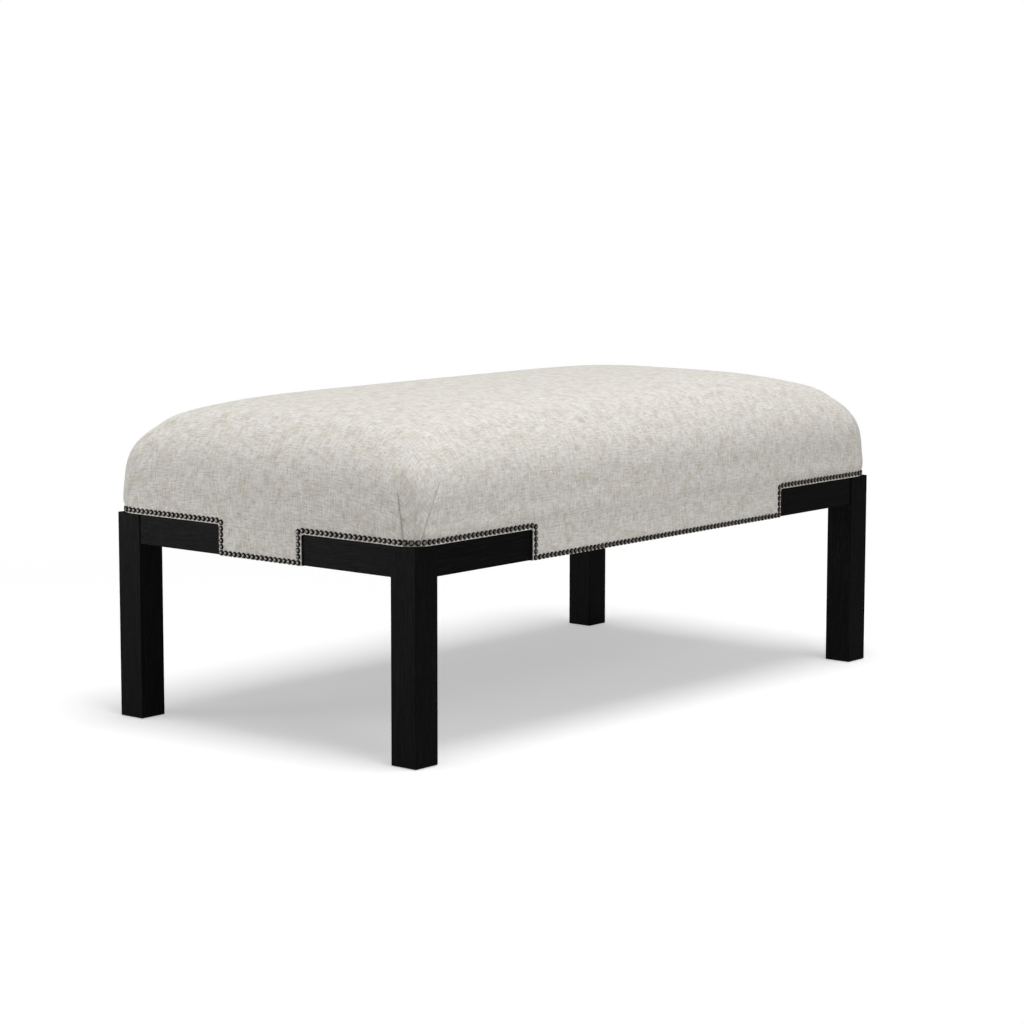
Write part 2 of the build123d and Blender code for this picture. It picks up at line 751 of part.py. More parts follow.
# Hanger bolts, washers and nuts of the legs
bolts = [bolt_place(*corner) for corner in corners.values()]
bolt_top = block_thick + washer_thick + nut_thick + bolt_stub
with BuildPart() as hanger_bolts:
    with Locations(*bolts):
        with Locations((0, 0, -bolt_bite)):
            Cylinder(bolt_radius, bolt_bite + bolt_top, align=(Align.CENTER, Align.CENTER, Align.MIN))
    chamfer(hanger_bolts.edges().filter_by(GeomType.CIRCLE), bolt_chamfer)
hanger_bolts.part.label = "hanger_bolts"
export_step(hanger_bolts.part, "parts/hanger_bolts.step")

with BuildPart() as bolt_washers:
    with Locations(*bolts):
        with Locations((0, 0, block_thick)):
            Cylinder(washer_radius, washer_thick, align=(Align.CENTER, Align.CENTER, Align.MIN))
            Cylinder(
                bolt_radius + fit_gap,
                washer_thick,
                align=(Align.CENTER, Align.CENTER, Align.MIN),
                mode=Mode.SUBTRACT,
            )
bolt_washers.part.label = "bolt_washers"
export_step(bolt_washers.part, "parts/bolt_washers.step")

with BuildPart() as nut_tool:
    with BuildSketch(Plane.XY.offset(block_thick + washer_thick)):
        RegularPolygon(nut_across_flats / 2, 6, major_radius=False)
        Circle(bolt_radius + fit_gap, mode=Mode.SUBTRACT)
    extrude(amount=nut_thick)
with BuildPart() as bolt_nuts:
    with Locations(*bolts):
        add(nut_tool.part)
bolt_nuts.part.label = "bolt_nuts"
export_step(bolt_nuts.part, "parts/bolt_nuts.step")

# Screws, studs and staples, each kind in one node, the studs by corner and by skirt
fasteners = {
    "corner_block_screws": (block_wood_screw, block_screws),
    "show_rail_screws": (short_wood_screw, show_rail_screws),
    "apron_screws": (short_wood_screw, apron_screws),
    "slat_screws": (long_wood_screw, slat_screws),
    "deck_screws": (short_wood_screw, deck_screws),
    "fabric_staples": (staple, fabric_staples),
    "dust_cover_staples": (staple, dust_cover_staples),
}
fasteners.update({f"studs_corner_{corner}": (stud, places) for corner, places in corner_studs.items()})
fasteners.update({f"studs_skirt_{side}": (stud, places) for side, places in skirt_studs.items()})
for name, (tool, places) in fasteners.items():
    with BuildPart() as group:
        with Locations(*places):
            add(tool)
    group.part.label = name
    export_step(group.part, f"parts/{name}.step")
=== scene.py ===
"""Ottoman coffee table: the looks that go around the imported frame.

Every length is in metres and every place is in the frame's own axes: origin on the floor under the middle of
the table, +X along its long side, +Y to the back, +Z up.
"""

import logging
import math
from dataclasses import dataclass, field
from enum import Enum
from typing import Any, Callable, Mapping, Sequence

import bpy
import numpy as np
from mathutils import Matrix, Vector

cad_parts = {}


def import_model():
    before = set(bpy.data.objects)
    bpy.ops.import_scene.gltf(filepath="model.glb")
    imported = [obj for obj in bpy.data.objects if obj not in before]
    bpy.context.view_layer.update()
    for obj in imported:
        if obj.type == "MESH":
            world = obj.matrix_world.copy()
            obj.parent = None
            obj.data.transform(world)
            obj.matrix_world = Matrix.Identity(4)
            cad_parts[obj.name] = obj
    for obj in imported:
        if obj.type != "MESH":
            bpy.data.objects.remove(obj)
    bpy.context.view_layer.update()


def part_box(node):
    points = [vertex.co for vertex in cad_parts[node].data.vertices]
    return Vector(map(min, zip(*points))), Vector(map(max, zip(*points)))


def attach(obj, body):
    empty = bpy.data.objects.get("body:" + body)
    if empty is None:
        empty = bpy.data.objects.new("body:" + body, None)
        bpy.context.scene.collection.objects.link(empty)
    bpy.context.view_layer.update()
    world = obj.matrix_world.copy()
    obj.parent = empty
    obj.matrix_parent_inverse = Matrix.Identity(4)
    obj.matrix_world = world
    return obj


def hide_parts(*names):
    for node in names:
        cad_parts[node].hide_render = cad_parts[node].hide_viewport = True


LOG = logging.getLogger("ottoman")
MM = 0.001
# Points closer than this lie at one place
TOUCH = 1e-6
CORNERS = {
    "front_left": (-1, -1),
    "front_right": (1, -1),
    "back_left": (-1, 1),
    "back_right": (1, 1),
}
LONG_SIDES = {"front": -1, "back": 1}
SHORT_SIDES = {"left": -1, "right": 1}
# Length of the padded top's rim in grid values, which run from -2 to 2 on each side
RING_LENGTH = 16


# Colours and shader nodes


def linear(hex_colour: str) -> tuple[float, float, float, float]:
    """Turn an sRGB hex colour into the linear values that a shader takes.

    Args:
        hex_colour: Six hex digits, such as "e6e2d8".

    Returns:
        Linear red, green and blue, and an alpha of 1.
    """
    channels = [int(hex_colour[i : i + 2], 16) / 255 for i in (0, 2, 4)]
    return (*[c / 12.92 if c <= 0.04045 else ((c + 0.055) / 1.055) ** 2.4 for c in channels], 1.0)


def add_node(
    tree: bpy.types.NodeTree,
    kind: str,
    settings: Mapping[str, Any] | None = None,
    inputs: Mapping[str | int, Any] | None = None,
) -> bpy.types.Node:
    """Add a node with its settings, its constant inputs and its links.

    Args:
        tree: The node tree that takes the node.
        kind: Blender's name of the node's type, without its ShaderNode prefix.
        settings: The node's own properties by name.
        inputs: What goes into each input, by name or number: another node's output socket, or a constant.

    Returns:
        The new node.
    """
    node = tree.nodes.new("ShaderNode" + kind)
    for name, value in (settings or {}).items():
        setattr(node, name, value)
    for key, value in (inputs or {}).items():
        if isinstance(value, bpy.types.NodeSocket):
            tree.links.new(value, node.inputs[key])
        else:
            node.inputs[key].default_value = value
    return node


def ramp(
    tree: bpy.types.NodeTree, factor: bpy.types.NodeSocket, stops: Mapping[float, str]
) -> bpy.types.NodeSocket:
    """Colour a factor through stops of a ramp.

    Args:
        tree: The node tree.
        factor: The socket that chooses the place on the ramp.
        stops: Hex colours by their place from 0 to 1.

    Returns:
        The ramp's colour socket.
    """
    node = add_node(tree, "ValToRGB", inputs={"Fac": factor})
    elements = node.color_ramp.elements
    first, *between, last = sorted(stops)
    elements[0].position, elements[0].color = first, linear(stops[first])
    elements[-1].position, elements[-1].color = last, linear(stops[last])
    for place in between:
        elements.new(place).color = linear(stops[place])
    return node.outputs["Color"]


class Direction(Enum):
    """The axis that a board's grain runs along, or that its plies are stacked along."""

    X = 0
    Y = 1
    Z = 2

    def stretch(self, along: float, across: float) -> tuple[float, float, float]:
        """Pattern cells per metre on each axis, for cells of the given length and width."""
        return tuple(1 / along if axis == self.value else 1 / across for axis in range(3))


class Finish:
    """A finish of the table: a named material with its own node tree and one main shader."""

    name: str

    def build(self) -> bpy.types.Material:
        """Make the material and let the finish fill its tree.

        Returns:
            The material, ready to be put on meshes.
        """
        material = bpy.data.materials.new(self.name)
        material.use_nodes = True
        tree = material.node_tree
        tree.nodes.clear()
        surface = self.paint(tree)
        add_node(tree, "OutputMaterial", inputs={"Surface": surface})
        return material

    def paint(self, tree: bpy.types.NodeTree) -> bpy.types.NodeSocket:
        """Fill the tree. Each finish has its own."""
        raise NotImplementedError

    @staticmethod
    def cells(tree: bpy.types.NodeTree, cell: Sequence[float], shift: float = 0.0) -> bpy.types.NodeSocket:
        """Object coordinates measured in cells of a pattern.

        Args:
            tree: The node tree.
            cell: Cells per metre on each axis.
            shift: How far the pattern is moved, in cells, so that two patterns don't line up.

        Returns:
            The scaled coordinates.
        """
        place = add_node(tree, "TexCoord").outputs["Object"]
        moved = {"Vector": place, "Scale": cell, "Location": (shift,) * 3}
        return add_node(tree, "Mapping", inputs=moved).outputs["Vector"]


@dataclass(frozen=True)
class LinenCloth(Finish):
    """Linen-look upholstery cloth, plain woven from slubby flecked yarn.

    It is a warm off-white with beige, brown and grey. It reads as a fine crosshatch of streaks with faint
    cloudy patches, and has no gloss. The real yarns are about 0.9 mm apart, too fine for the render, so they
    are drawn 2.3 mm apart.
    """

    name: str = "linen_look_cloth_woven"
    yarn: float = 2.3 * MM
    streak: float = 18 * MM
    slub: float = 2.6 * MM
    slub_length: float = 11 * MM
    patch: float = 26 * MM

    def threads(
        self, tree: bpy.types.NodeTree, pitch: float, length: float, across: bool, shift: float
    ) -> bpy.types.NodeSocket:
        """Streaks along one thread direction: noise drawn out along the yarn.

        Args:
            tree: The node tree.
            pitch: Width of a streak.
            length: Length of a streak.
            across: True for the weft, which runs along the map's first axis.
            shift: Moves the pattern.

        Returns:
            The streaks' value, about 0.5 in the mean.
        """
        place = add_node(tree, "UVMap", {"uv_map": "cloth"}).outputs["UV"]
        scale = (1 / length, 1 / pitch, 1) if across else (1 / pitch, 1 / length, 1)
        moved = {"Vector": place, "Scale": scale, "Location": (shift, shift, 0)}
        vector = add_node(tree, "Mapping", inputs=moved).outputs["Vector"]
        settings = {"noise_dimensions": "2D"}
        inputs = {"Vector": vector, "Scale": 1.0, "Detail": 1.5, "Roughness": 0.55}
        return add_node(tree, "TexNoise", settings, inputs).outputs["Fac"]

    def paint(self, tree: bpy.types.NodeTree) -> bpy.types.NodeSocket:
        """Weave, slubs and cloudy patches, with painted shade deep in a crease, and a bump from the yarns.
        """
        warp = self.threads(tree, self.yarn, self.streak, False, 0.0)
        weft = self.threads(tree, self.yarn, self.streak, True, 5.3)
        both = add_node(tree, "Math", {"operation": "ADD"}, {0: warp, 1: weft}).outputs[0]
        half = add_node(tree, "Math", {"operation": "MULTIPLY"}, {0: both, 1: 0.5}).outputs[0]
        weave = ramp(tree, half, {0.34: "d5d1c8", 0.5: "e7e4de", 0.66: "f4f2ee"})
        colour = weave
        for across, shift in ((False, 31.7), (True, 57.1)):
            slubs = self.threads(tree, self.slub, self.slub_length, across, shift)
            reach = {"Value": slubs, "From Min": 0.62, "From Max": 0.76, "To Max": 0.42}
            mask = add_node(tree, "MapRange", inputs=reach).outputs[0]
            tint = linear("b5a483" if across else "a59a88")
            settings = {"data_type": "RGBA"}
            colour = add_node(tree, "Mix", settings, {"Factor": mask, 6: colour, 7: tint}).outputs[2]
        for size, shift, tint, most in (
            (self.patch, 11.3, "e2d9c8", 0.33),
            (self.patch * 0.6, 71.9, "dcdddc", 0.25),
        ):
            clouds = self.threads(tree, size, size, False, shift)
            reach = {"Value": clouds, "From Min": 0.47, "From Max": 0.72, "To Max": most}
            mask = add_node(tree, "MapRange", inputs=reach).outputs[0]
            settings = {"data_type": "RGBA", "blend_type": "MULTIPLY"}
            colour = add_node(tree, "Mix", settings, {"Factor": mask, 6: colour, 7: linear(tint)}).outputs[2]
        # Painted shade: deep in a crease the cloth is mixed towards dark brown, standing in for the shadow
        # in the fold
        crease = add_node(tree, "Attribute", {"attribute_name": "crease"}).outputs["Fac"]
        reach = {"Value": crease, "From Min": 0.2, "To Max": 0.33}
        painted_crease_shade = add_node(tree, "MapRange", inputs=reach).outputs[0]
        shades = {"Factor": painted_crease_shade, 6: colour, 7: linear("6f675b")}
        colour = add_node(tree, "Mix", {"data_type": "RGBA"}, shades).outputs[2]
        bump = add_node(tree, "Bump", inputs={"Height": half, "Strength": 0.55, "Distance": 0.5 * MM})
        inputs = {
            "Base Color": colour,
            "Roughness": 0.92,
            "Specular IOR Level": 0.15,
            "Sheen Weight": 0.08,
            "Sheen Roughness": 0.5,
            "Normal": bump.outputs["Normal"],
        }
        return add_node(tree, "BsdfPrincipled", inputs=inputs).outputs["BSDF"]


@dataclass(frozen=True)
class BlackStainedOak(Finish):
    """Open-grained oak, planed and stained black, with a thin wiped lacquer that only half fills its pores.

    It is nearly black, with upright streaks, and its only gloss is a faint sheen of the lacquer.
    """

    grain: Direction = Direction.Z
    pore: float = 0.9 * MM
    pore_length: float = 22 * MM
    streak: float = 2.8 * MM
    streak_length: float = 70 * MM

    @property
    def name(self) -> str:
        """The material's name, one for each grain direction."""
        return f"oak_stained_black_grain_{self.grain.name.lower()}"

    def paint(self, tree: bpy.types.NodeTree) -> bpy.types.NodeSocket:
        """Broad streaks and fine pores, both drawn out along the grain."""
        streaks = add_node(
            tree,
            "TexNoise",
            inputs={
                "Vector": self.cells(tree, self.grain.stretch(self.streak_length, self.streak), 3.1),
                "Scale": 1.0,
                "Detail": 3.0,
                "Roughness": 0.65,
            },
        ).outputs["Fac"]
        pores = add_node(
            tree,
            "TexNoise",
            inputs={
                "Vector": self.cells(tree, self.grain.stretch(self.pore_length, self.pore), 17.4),
                "Scale": 1.0,
                "Detail": 2.0,
            },
        ).outputs["Fac"]
        reach = {"Value": pores, "From Min": 0.36, "From Max": 0.56}
        open_pores = add_node(tree, "MapRange", inputs=reach).outputs[0]
        body = ramp(tree, streaks, {0.34: "020202", 0.5: "070707", 0.66: "131313"})
        shades = {"Factor": open_pores, 6: linear("010101"), 7: body}
        colour = add_node(tree, "Mix", {"data_type": "RGBA"}, shades).outputs[2]
        reach = {"Value": pores, "From Min": 0.3, "From Max": 0.7, "To Min": 0.9, "To Max": 0.6}
        rough = add_node(tree, "MapRange", inputs=reach).outputs[0]
        bump = add_node(tree, "Bump", inputs={"Height": open_pores, "Strength": 0.5, "Distance": 0.25 * MM})
        inputs = {
            "Base Color": colour,
            "Roughness": rough,
            "Specular IOR Level": 0.0,
            "Coat Weight": 0.07,
            "Coat Roughness": 0.34,
            "Coat Normal": bump.outputs["Normal"],
            "Normal": bump.outputs["Normal"],
        }
        return add_node(tree, "BsdfPrincipled", inputs=inputs).outputs["BSDF"]


@dataclass(frozen=True)
class AgedBronze(Finish):
    """Bronze-plated steel nailheads, darkened and rubbed back: dark rims, brighter domes. The bright crown
    is partly real wear and partly a painted highlight, and the dark rim is partly real patina and partly a
    painted dark reflection.
    """

    name: str = "nailheads_bronze_plated_antiqued"
    mottle: float = 3.0 * MM

    def paint(self, tree: bpy.types.NodeTree) -> bpy.types.NodeSocket:
        """Patina and a painted highlight by the height on the dome, with a little mottle."""
        height = add_node(tree, "Attribute", {"attribute_name": "dome"}).outputs["Fac"]
        spots = add_node(
            tree,
            "TexNoise",
            inputs={"Vector": self.cells(tree, (1 / self.mottle,) * 3), "Scale": 1.0, "Detail": 3.0},
        ).outputs["Fac"]
        reach = {"Value": spots, "To Min": -0.2, "To Max": 0.2}
        spread = add_node(tree, "MapRange", inputs=reach).outputs[0]
        settings = {"operation": "ADD", "use_clamp": True}
        wear_and_highlight = add_node(tree, "Math", settings, {0: height, 1: spread}).outputs[0]
        # Dark rim to bright crown: rubbed-back antiquing together with a painted highlight on the crown and
        # a painted dark reflection at the rim
        colour = ramp(tree, wear_and_highlight, {0.2: "0e0c0b", 0.8: "1f1b18", 0.97: "625f5b"})
        rough = add_node(tree, "MapRange", inputs={"Value": wear_and_highlight, "To Min": 0.5, "To Max": 0.38}).outputs[0]
        inputs = {"Base Color": colour, "Metallic": 1.0, "Roughness": rough}
        return add_node(tree, "BsdfPrincipled", inputs=inputs).outputs["BSDF"]


@dataclass(frozen=True)
class PlanedPine(Finish):
    """Planed softwood of the inner frame: pale, with soft amber growth bands along the grain."""

    grain: Direction = Direction.X
    band: float = 7 * MM
    band_length: float = 400 * MM

    @property
    def name(self) -> str:
        """The material's name, one for each grain direction."""
        return f"pine_planed_grain_{self.grain.name.lower()}"

    def paint(self, tree: bpy.types.NodeTree) -> bpy.types.NodeSocket:
        """Growth bands from noise drawn out along the grain, and fine fibres."""
        bands = add_node(
            tree,
            "TexNoise",
            inputs={
                "Vector": self.cells(tree, self.grain.stretch(self.band_length, self.band), 2.2),
                "Scale": 1.0,
                "Detail": 4.0,
                "Distortion": 0.4,
            },
        ).outputs["Fac"]
        colour = ramp(tree, bands, {0.3: "c79a5e", 0.48: "dbb987", 0.62: "e6cb9f", 0.75: "cfa468"})
        bump = add_node(tree, "Bump", inputs={"Height": bands, "Strength": 0.25, "Distance": 0.2 * MM})
        inputs = {"Base Color": colour, "Roughness": 0.7, "Normal": bump.outputs["Normal"]}
        return add_node(tree, "BsdfPrincipled", inputs=inputs).outputs["BSDF"]


@dataclass(frozen=True)
class BirchPlywood(Finish):
    """Sanded birch plywood: a pale face with faint figure, and light and dark plies on its edges.

    An apron is black from the ends of the show rails outwards, where its own end shows: painted shade for
    the shadow gap there between the skirt and the rail.
    """

    stack: Direction = Direction.Z
    painted_shade_from: float | None = None
    ply: float = 1.5 * MM
    figure: float = 9 * MM
    figure_length: float = 160 * MM
    painted_shade_bleed: float = 0.5 * MM
    wave_period: float = 0.314

    @property
    def name(self) -> str:
        """The material's name, one for each direction that the plies are stacked in."""
        ends = "" if self.painted_shade_from is None else "_ends_painted_shade"
        return f"birch_plywood_plies_{self.stack.name.lower()}{ends}"

    def paint(self, tree: bpy.types.NodeTree) -> bpy.types.NodeSocket:
        """Plies as bands through the thickness, under a figure that runs along the board."""
        along = Direction.Y if self.stack is Direction.X else Direction.X
        figure = add_node(
            tree,
            "TexNoise",
            inputs={
                "Vector": self.cells(tree, along.stretch(self.figure_length, self.figure), 8.8),
                "Scale": 1.0,
                "Detail": 4.0,
            },
        ).outputs["Fac"]
        place = add_node(tree, "TexCoord").outputs["Object"]
        plies = add_node(
            tree,
            "TexWave",
            {"wave_type": "BANDS", "bands_direction": self.stack.name, "wave_profile": "SAW"},
            {"Vector": place, "Scale": self.wave_period / (2 * self.ply)},
        ).outputs["Fac"]
        face = ramp(tree, figure, {0.35: "d9bd8c", 0.5: "e3cba0", 0.68: "ead7b3"})
        edge = ramp(tree, plies, {0.4: "fff8ea", 0.6: "b98f5d"})
        settings = {"data_type": "RGBA", "blend_type": "MULTIPLY"}
        colour = add_node(tree, "Mix", settings, {"Factor": 0.35, 6: face, 7: edge}).outputs[2]
        # Painted shade: black beyond the show rail's end, where the apron's end shows in the gap beside the
        # rail
        if self.painted_shade_from is not None:
            along_place = add_node(tree, "SeparateXYZ", inputs={0: place}).outputs[along.name]
            away = add_node(tree, "Math", {"operation": "ABSOLUTE"}, {0: along_place}).outputs[0]
            soft_start = self.painted_shade_from - self.painted_shade_bleed
            reach = {"Value": away, "From Min": soft_start, "From Max": self.painted_shade_from}
            painted_shade_share = add_node(tree, "MapRange", inputs=reach).outputs[0]
            shades = {"Factor": painted_shade_share, 6: colour, 7: linear("070707")}
            colour = add_node(tree, "Mix", {"data_type": "RGBA"}, shades).outputs[2]
        bump = add_node(tree, "Bump", inputs={"Height": figure, "Strength": 0.15, "Distance": 0.15 * MM})
        inputs = {"Base Color": colour, "Roughness": 0.65, "Normal": bump.outputs["Normal"]}
        return add_node(tree, "BsdfPrincipled", inputs=inputs).outputs["BSDF"]


@dataclass(frozen=True)
class SpeckledFinish(Finish):
    """A finish that is one noise between a few colours: foam, wadding, dust cloth, steel and the like.

    The ones below are each set by their own colours, grain size and gloss.
    """

    name: str
    grain: float
    stops: tuple[tuple[float, str], ...]
    roughness: float
    roughness_play: float = 0.08
    metallic: float = 0.0
    specular: float = 0.5
    sheen: float = 0.0
    relief: float = 0.1 * MM
    stretch: tuple[float, float, float] = (1.0, 1.0, 1.0)

    def paint(self, tree: bpy.types.NodeTree) -> bpy.types.NodeSocket:
        """Noise of the finish's own grain size, coloured by its stops and raised a little."""
        cell = tuple(share / self.grain for share in self.stretch)
        noise = add_node(
            tree,
            "TexNoise",
            inputs={"Vector": self.cells(tree, cell), "Scale": 1.0, "Detail": 5.0, "Roughness": 0.6},
        ).outputs["Fac"]
        colour = ramp(tree, noise, dict(self.stops))
        smoothest, roughest = self.roughness - self.roughness_play, self.roughness + self.roughness_play
        reach = {"Value": noise, "To Min": smoothest, "To Max": roughest}
        rough = add_node(tree, "MapRange", inputs=reach).outputs[0]
        bump = add_node(tree, "Bump", inputs={"Height": noise, "Strength": 0.4, "Distance": self.relief})
        inputs = {
            "Base Color": colour,
            "Roughness": rough,
            "Metallic": self.metallic,
            "Specular IOR Level": self.specular,
            "Sheen Weight": self.sheen,
            "Normal": bump.outputs["Normal"],
        }
        return add_node(tree, "BsdfPrincipled", inputs=inputs).outputs["BSDF"]


# Open-cell polyurethane foam, cut: cream, matt, full of small cells
FOAM = SpeckledFinish(
    "foam_open_cell_cut", 1.6 * MM, ((0.35, "c9b98a"), (0.6, "efe6c4")), 0.95, specular=0.1, relief=0.6 * MM
)
# Bonded polyester wadding: white, soft and hairy, so it has a strong sheen
WADDING = SpeckledFinish(
    "polyester_wadding_bonded", 5 * MM, ((0.3, "d9d9d5"), (0.65, "f6f6f3")), 0.95,
    specular=0.1, sheen=0.3, relief=1.2 * MM, stretch=(1.0, 0.6, 1.0),
)
# Spun-bonded polypropylene cloth: black, matt, with the faint fleck of its bonding
DUST_CLOTH = SpeckledFinish(
    "polypropylene_cloth_spunbonded", 1.3 * MM, ((0.35, "0e0e10"), (0.7, "2a2a2d")), 0.85,
    specular=0.3, relief=0.2 * MM,
)
# Beech dowels, fluted and dry: pinkish pale wood with short flecks
BEECH = SpeckledFinish(
    "beech_dowel_turned", 1.2 * MM, ((0.35, "b98a5f"), (0.55, "d9b48a"), (0.7, "e4c6a2")), 0.65
)
# Zinc-plated steel: bright grey with a faint cloudy passivation
ZINC = SpeckledFinish(
    "steel_zinc_plated", 6 * MM, ((0.3, "a9adb0"), (0.5, "c3c5c4"), (0.7, "cfcbb8")), 0.33, metallic=1.0,
    relief=0.02 * MM,
)
# Moulded nylon: dark brown-black with a fine spark texture
NYLON = SpeckledFinish(
    "nylon_moulded", 0.8 * MM, ((0.3, "1c1a18"), (0.7, "2c2926")), 0.45, relief=0.05 * MM
)


# Meshes from arrays


@dataclass
class Surface:
    """Points, four-sided faces and the cloth map of one piece while it is being worked out."""

    points: np.ndarray
    faces: np.ndarray
    cloth: np.ndarray | None = None

    def joined(self, *others: "Surface") -> "Surface":
        """This surface with others added as separate faces.

        Args:
            others: The surfaces to add.

        Returns:
            One surface that holds them all.
        """
        parts = [self, *others]
        starts = np.cumsum([0] + [len(part.points) for part in parts[:-1]])
        cloth = None if self.cloth is None else np.concatenate([part.cloth for part in parts])
        faces = np.concatenate([part.faces + start for part, start in zip(parts, starts)])
        return Surface(np.concatenate([part.points for part in parts]), faces, cloth)

    def welded(self, grid: float = TOUCH) -> tuple["Surface", np.ndarray]:
        """Merge the points that lie at one place, and drop faces that have shrunk to a line.

        Args:
            grid: Points closer than this are one.

        Returns:
            The welded surface, and for each old point its new number.
        """
        _, first, number = np.unique(
            np.round(self.points / grid).astype(np.int64), axis=0, return_index=True, return_inverse=True
        )
        number = number.reshape(-1)
        faces = number[self.faces]
        a, b, c, d = faces.T
        whole = (a != c) & (b != d) & ((a != b) | (c != d)) & ((b != c) | (d != a))
        cloth = None if self.cloth is None else self.cloth[whole]
        return Surface(self.points[first], faces[whole], cloth), number

    def make(self, name: str, material: bpy.types.Material | None = None) -> bpy.types.Object:
        """Put the surface into a mesh object at the origin, smooth shaded.

        Args:
            name: The object's name.
            material: Its material.

        Returns:
            The new object, linked to the scene.
        """
        kept = self.faces != np.roll(self.faces, 1, axis=1)
        sides = kept.sum(axis=1)
        mesh = bpy.data.meshes.new(name)
        mesh.vertices.add(len(self.points))
        mesh.vertices.foreach_set("co", self.points.astype(np.float32).ravel())
        mesh.loops.add(int(sides.sum()))
        mesh.loops.foreach_set("vertex_index", self.faces[kept].astype(np.int32))
        mesh.polygons.add(len(self.faces))
        mesh.polygons.foreach_set("loop_start", (np.cumsum(sides) - sides).astype(np.int32))
        mesh.update(calc_edges=True)
        if self.cloth is not None:
            layer = mesh.uv_layers.new(name="cloth")
            layer.data.foreach_set("uv", self.cloth[kept].astype(np.float32).ravel())
        mesh.polygons.foreach_set("use_smooth", np.ones(len(mesh.polygons), bool))
        mesh.validate()
        piece = bpy.data.objects.new(name, mesh)
        bpy.context.scene.collection.objects.link(piece)
        if material is not None:
            mesh.materials.append(material)
        return piece


def grid_faces(rows: int, columns: int, closed: bool = False) -> np.ndarray:
    """Four-sided faces between the points of a grid, facing the side where columns cross rows right-handed.

    Args:
        rows: Number of point rows.
        columns: Number of points in a row.
        closed: True where each row is a loop, whose last point is followed by its first.

    Returns:
        Point numbers of each face, four to a row.
    """
    number = np.arange(rows * columns).reshape(rows, columns)
    if closed:
        number = np.concatenate([number, number[:, :1]], axis=1)
    low, high = number[:-1], number[1:]
    return np.stack([low[:, :-1], low[:, 1:], high[:, 1:], high[:, :-1]], axis=-1).reshape(-1, 4)


def face_cloth(values: np.ndarray, faces: np.ndarray) -> np.ndarray:
    """The cloth map's values at each face's corners, from values at the grid's points."""
    return values.reshape(-1, 2)[faces]


def smooth_between(values: np.ndarray, knots: np.ndarray, places: np.ndarray, axis: int) -> np.ndarray:
    """Read values between knots along one axis by cubic pieces whose slopes come from the neighbours.

    With t from 0 to 1 between two knots h apart, the value is
    (2t^3-3t^2+1) v0 + (t^3-2t^2+t) h s0 + (3t^2-2t^3) v1 + (t^3-t^2) h s1.

    Args:
        values: Values at the knots, along the given axis.
        knots: Rising places of the knots.
        places: Where to read.
        axis: The axis of values that the knots are on.

    Returns:
        Values at the places, on the same axis.
    """
    values = np.moveaxis(values, axis, 0)
    slopes = np.gradient(values, knots, axis=0)
    left = np.clip(np.searchsorted(knots, places, side="right") - 1, 0, len(knots) - 2)
    h = (knots[left + 1] - knots[left]).reshape(-1, *[1] * (values.ndim - 1))
    t = np.clip((places - knots[left]).reshape(h.shape) / h, 0, 1)
    read = (
        (2 * t**3 - 3 * t**2 + 1) * values[left]
        + (t**3 - 2 * t**2 + t) * h * slopes[left]
        + (3 * t**2 - 2 * t**3) * values[left + 1]
        + (t**3 - t**2) * h * slopes[left + 1]
    )
    return np.moveaxis(read, 0, axis)


def normals_of(points: np.ndarray, closed: bool = False) -> np.ndarray:
    """Unit normals of a grid of points, on the side that grid_faces faces.

    Args:
        points: Points by row and column.
        closed: True where each row is a loop.

    Returns:
        The normals, in the same order.
    """
    wide = np.concatenate([points[:, -1:], points, points[:, :1]], axis=1) if closed else points
    along = np.gradient(wide, axis=1)
    along = along[:, 1:-1] if closed else along
    normal = np.cross(along, np.gradient(points, axis=0))
    return normal / np.maximum(np.linalg.norm(normal, axis=-1, keepdims=True), 1e-12)


def loop_round(rim_x: np.ndarray, rim_y: np.ndarray) -> tuple[np.ndarray, np.ndarray]:
    """Values round the rim of a grid, anticlockwise from its first corner, each corner once.

    Args:
        rim_x: Values of the grid's columns.
        rim_y: Values of the grid's rows.

    Returns:
        The column value and the row value of each rim point.
    """
    wide, deep = np.ones(len(rim_x) - 1), np.ones(len(rim_y) - 1)
    x = np.concatenate([rim_x[:-1], deep * rim_x[-1], rim_x[:0:-1], deep * rim_x[0]])
    y = np.concatenate([wide * rim_y[0], rim_y[:-1], wide * rim_y[-1], rim_y[:0:-1]])
    return x, y


def path_lengths(points: np.ndarray, axis: int) -> np.ndarray:
    """Length along the grid lines of one axis, from their first points."""
    legs = np.linalg.norm(np.diff(points, axis=axis), axis=-1)
    start = np.zeros_like(np.take(legs, [0], axis=axis))
    return np.concatenate([start, np.cumsum(legs, axis=axis)], axis=axis)


def step(value: np.ndarray, low: float, high: float) -> np.ndarray:
    """A smooth step: 0 below low, 1 above high, and 3t^2 - 2t^3 between them."""
    t = np.clip((value - low) / (high - low), 0, 1)
    return t * t * (3 - 2 * t)


def dent(value: np.ndarray, width: float) -> np.ndarray:
    """A round dent's share of its depth: the exponential of minus the square of value over width."""
    return np.exp(-((value / width) ** 2))


def evened(values: np.ndarray, faces: np.ndarray, rounds: int) -> np.ndarray:
    """Even out values on a mesh: in each round a point takes the mean of the means of the faces round it.

    Args:
        values: One row for each point.
        faces: Point numbers by face.
        rounds: How often it is done.

    Returns:
        The evened values.
    """
    weight = np.zeros((len(values), 1))
    np.add.at(weight, faces.ravel(), 1)
    for _ in range(rounds):
        total = np.zeros_like(values)
        np.add.at(total, faces.ravel(), np.repeat(values[faces].mean(axis=1), faces.shape[1], axis=0))
        values = total / np.maximum(weight, 1)
    return values


# What the frame gives


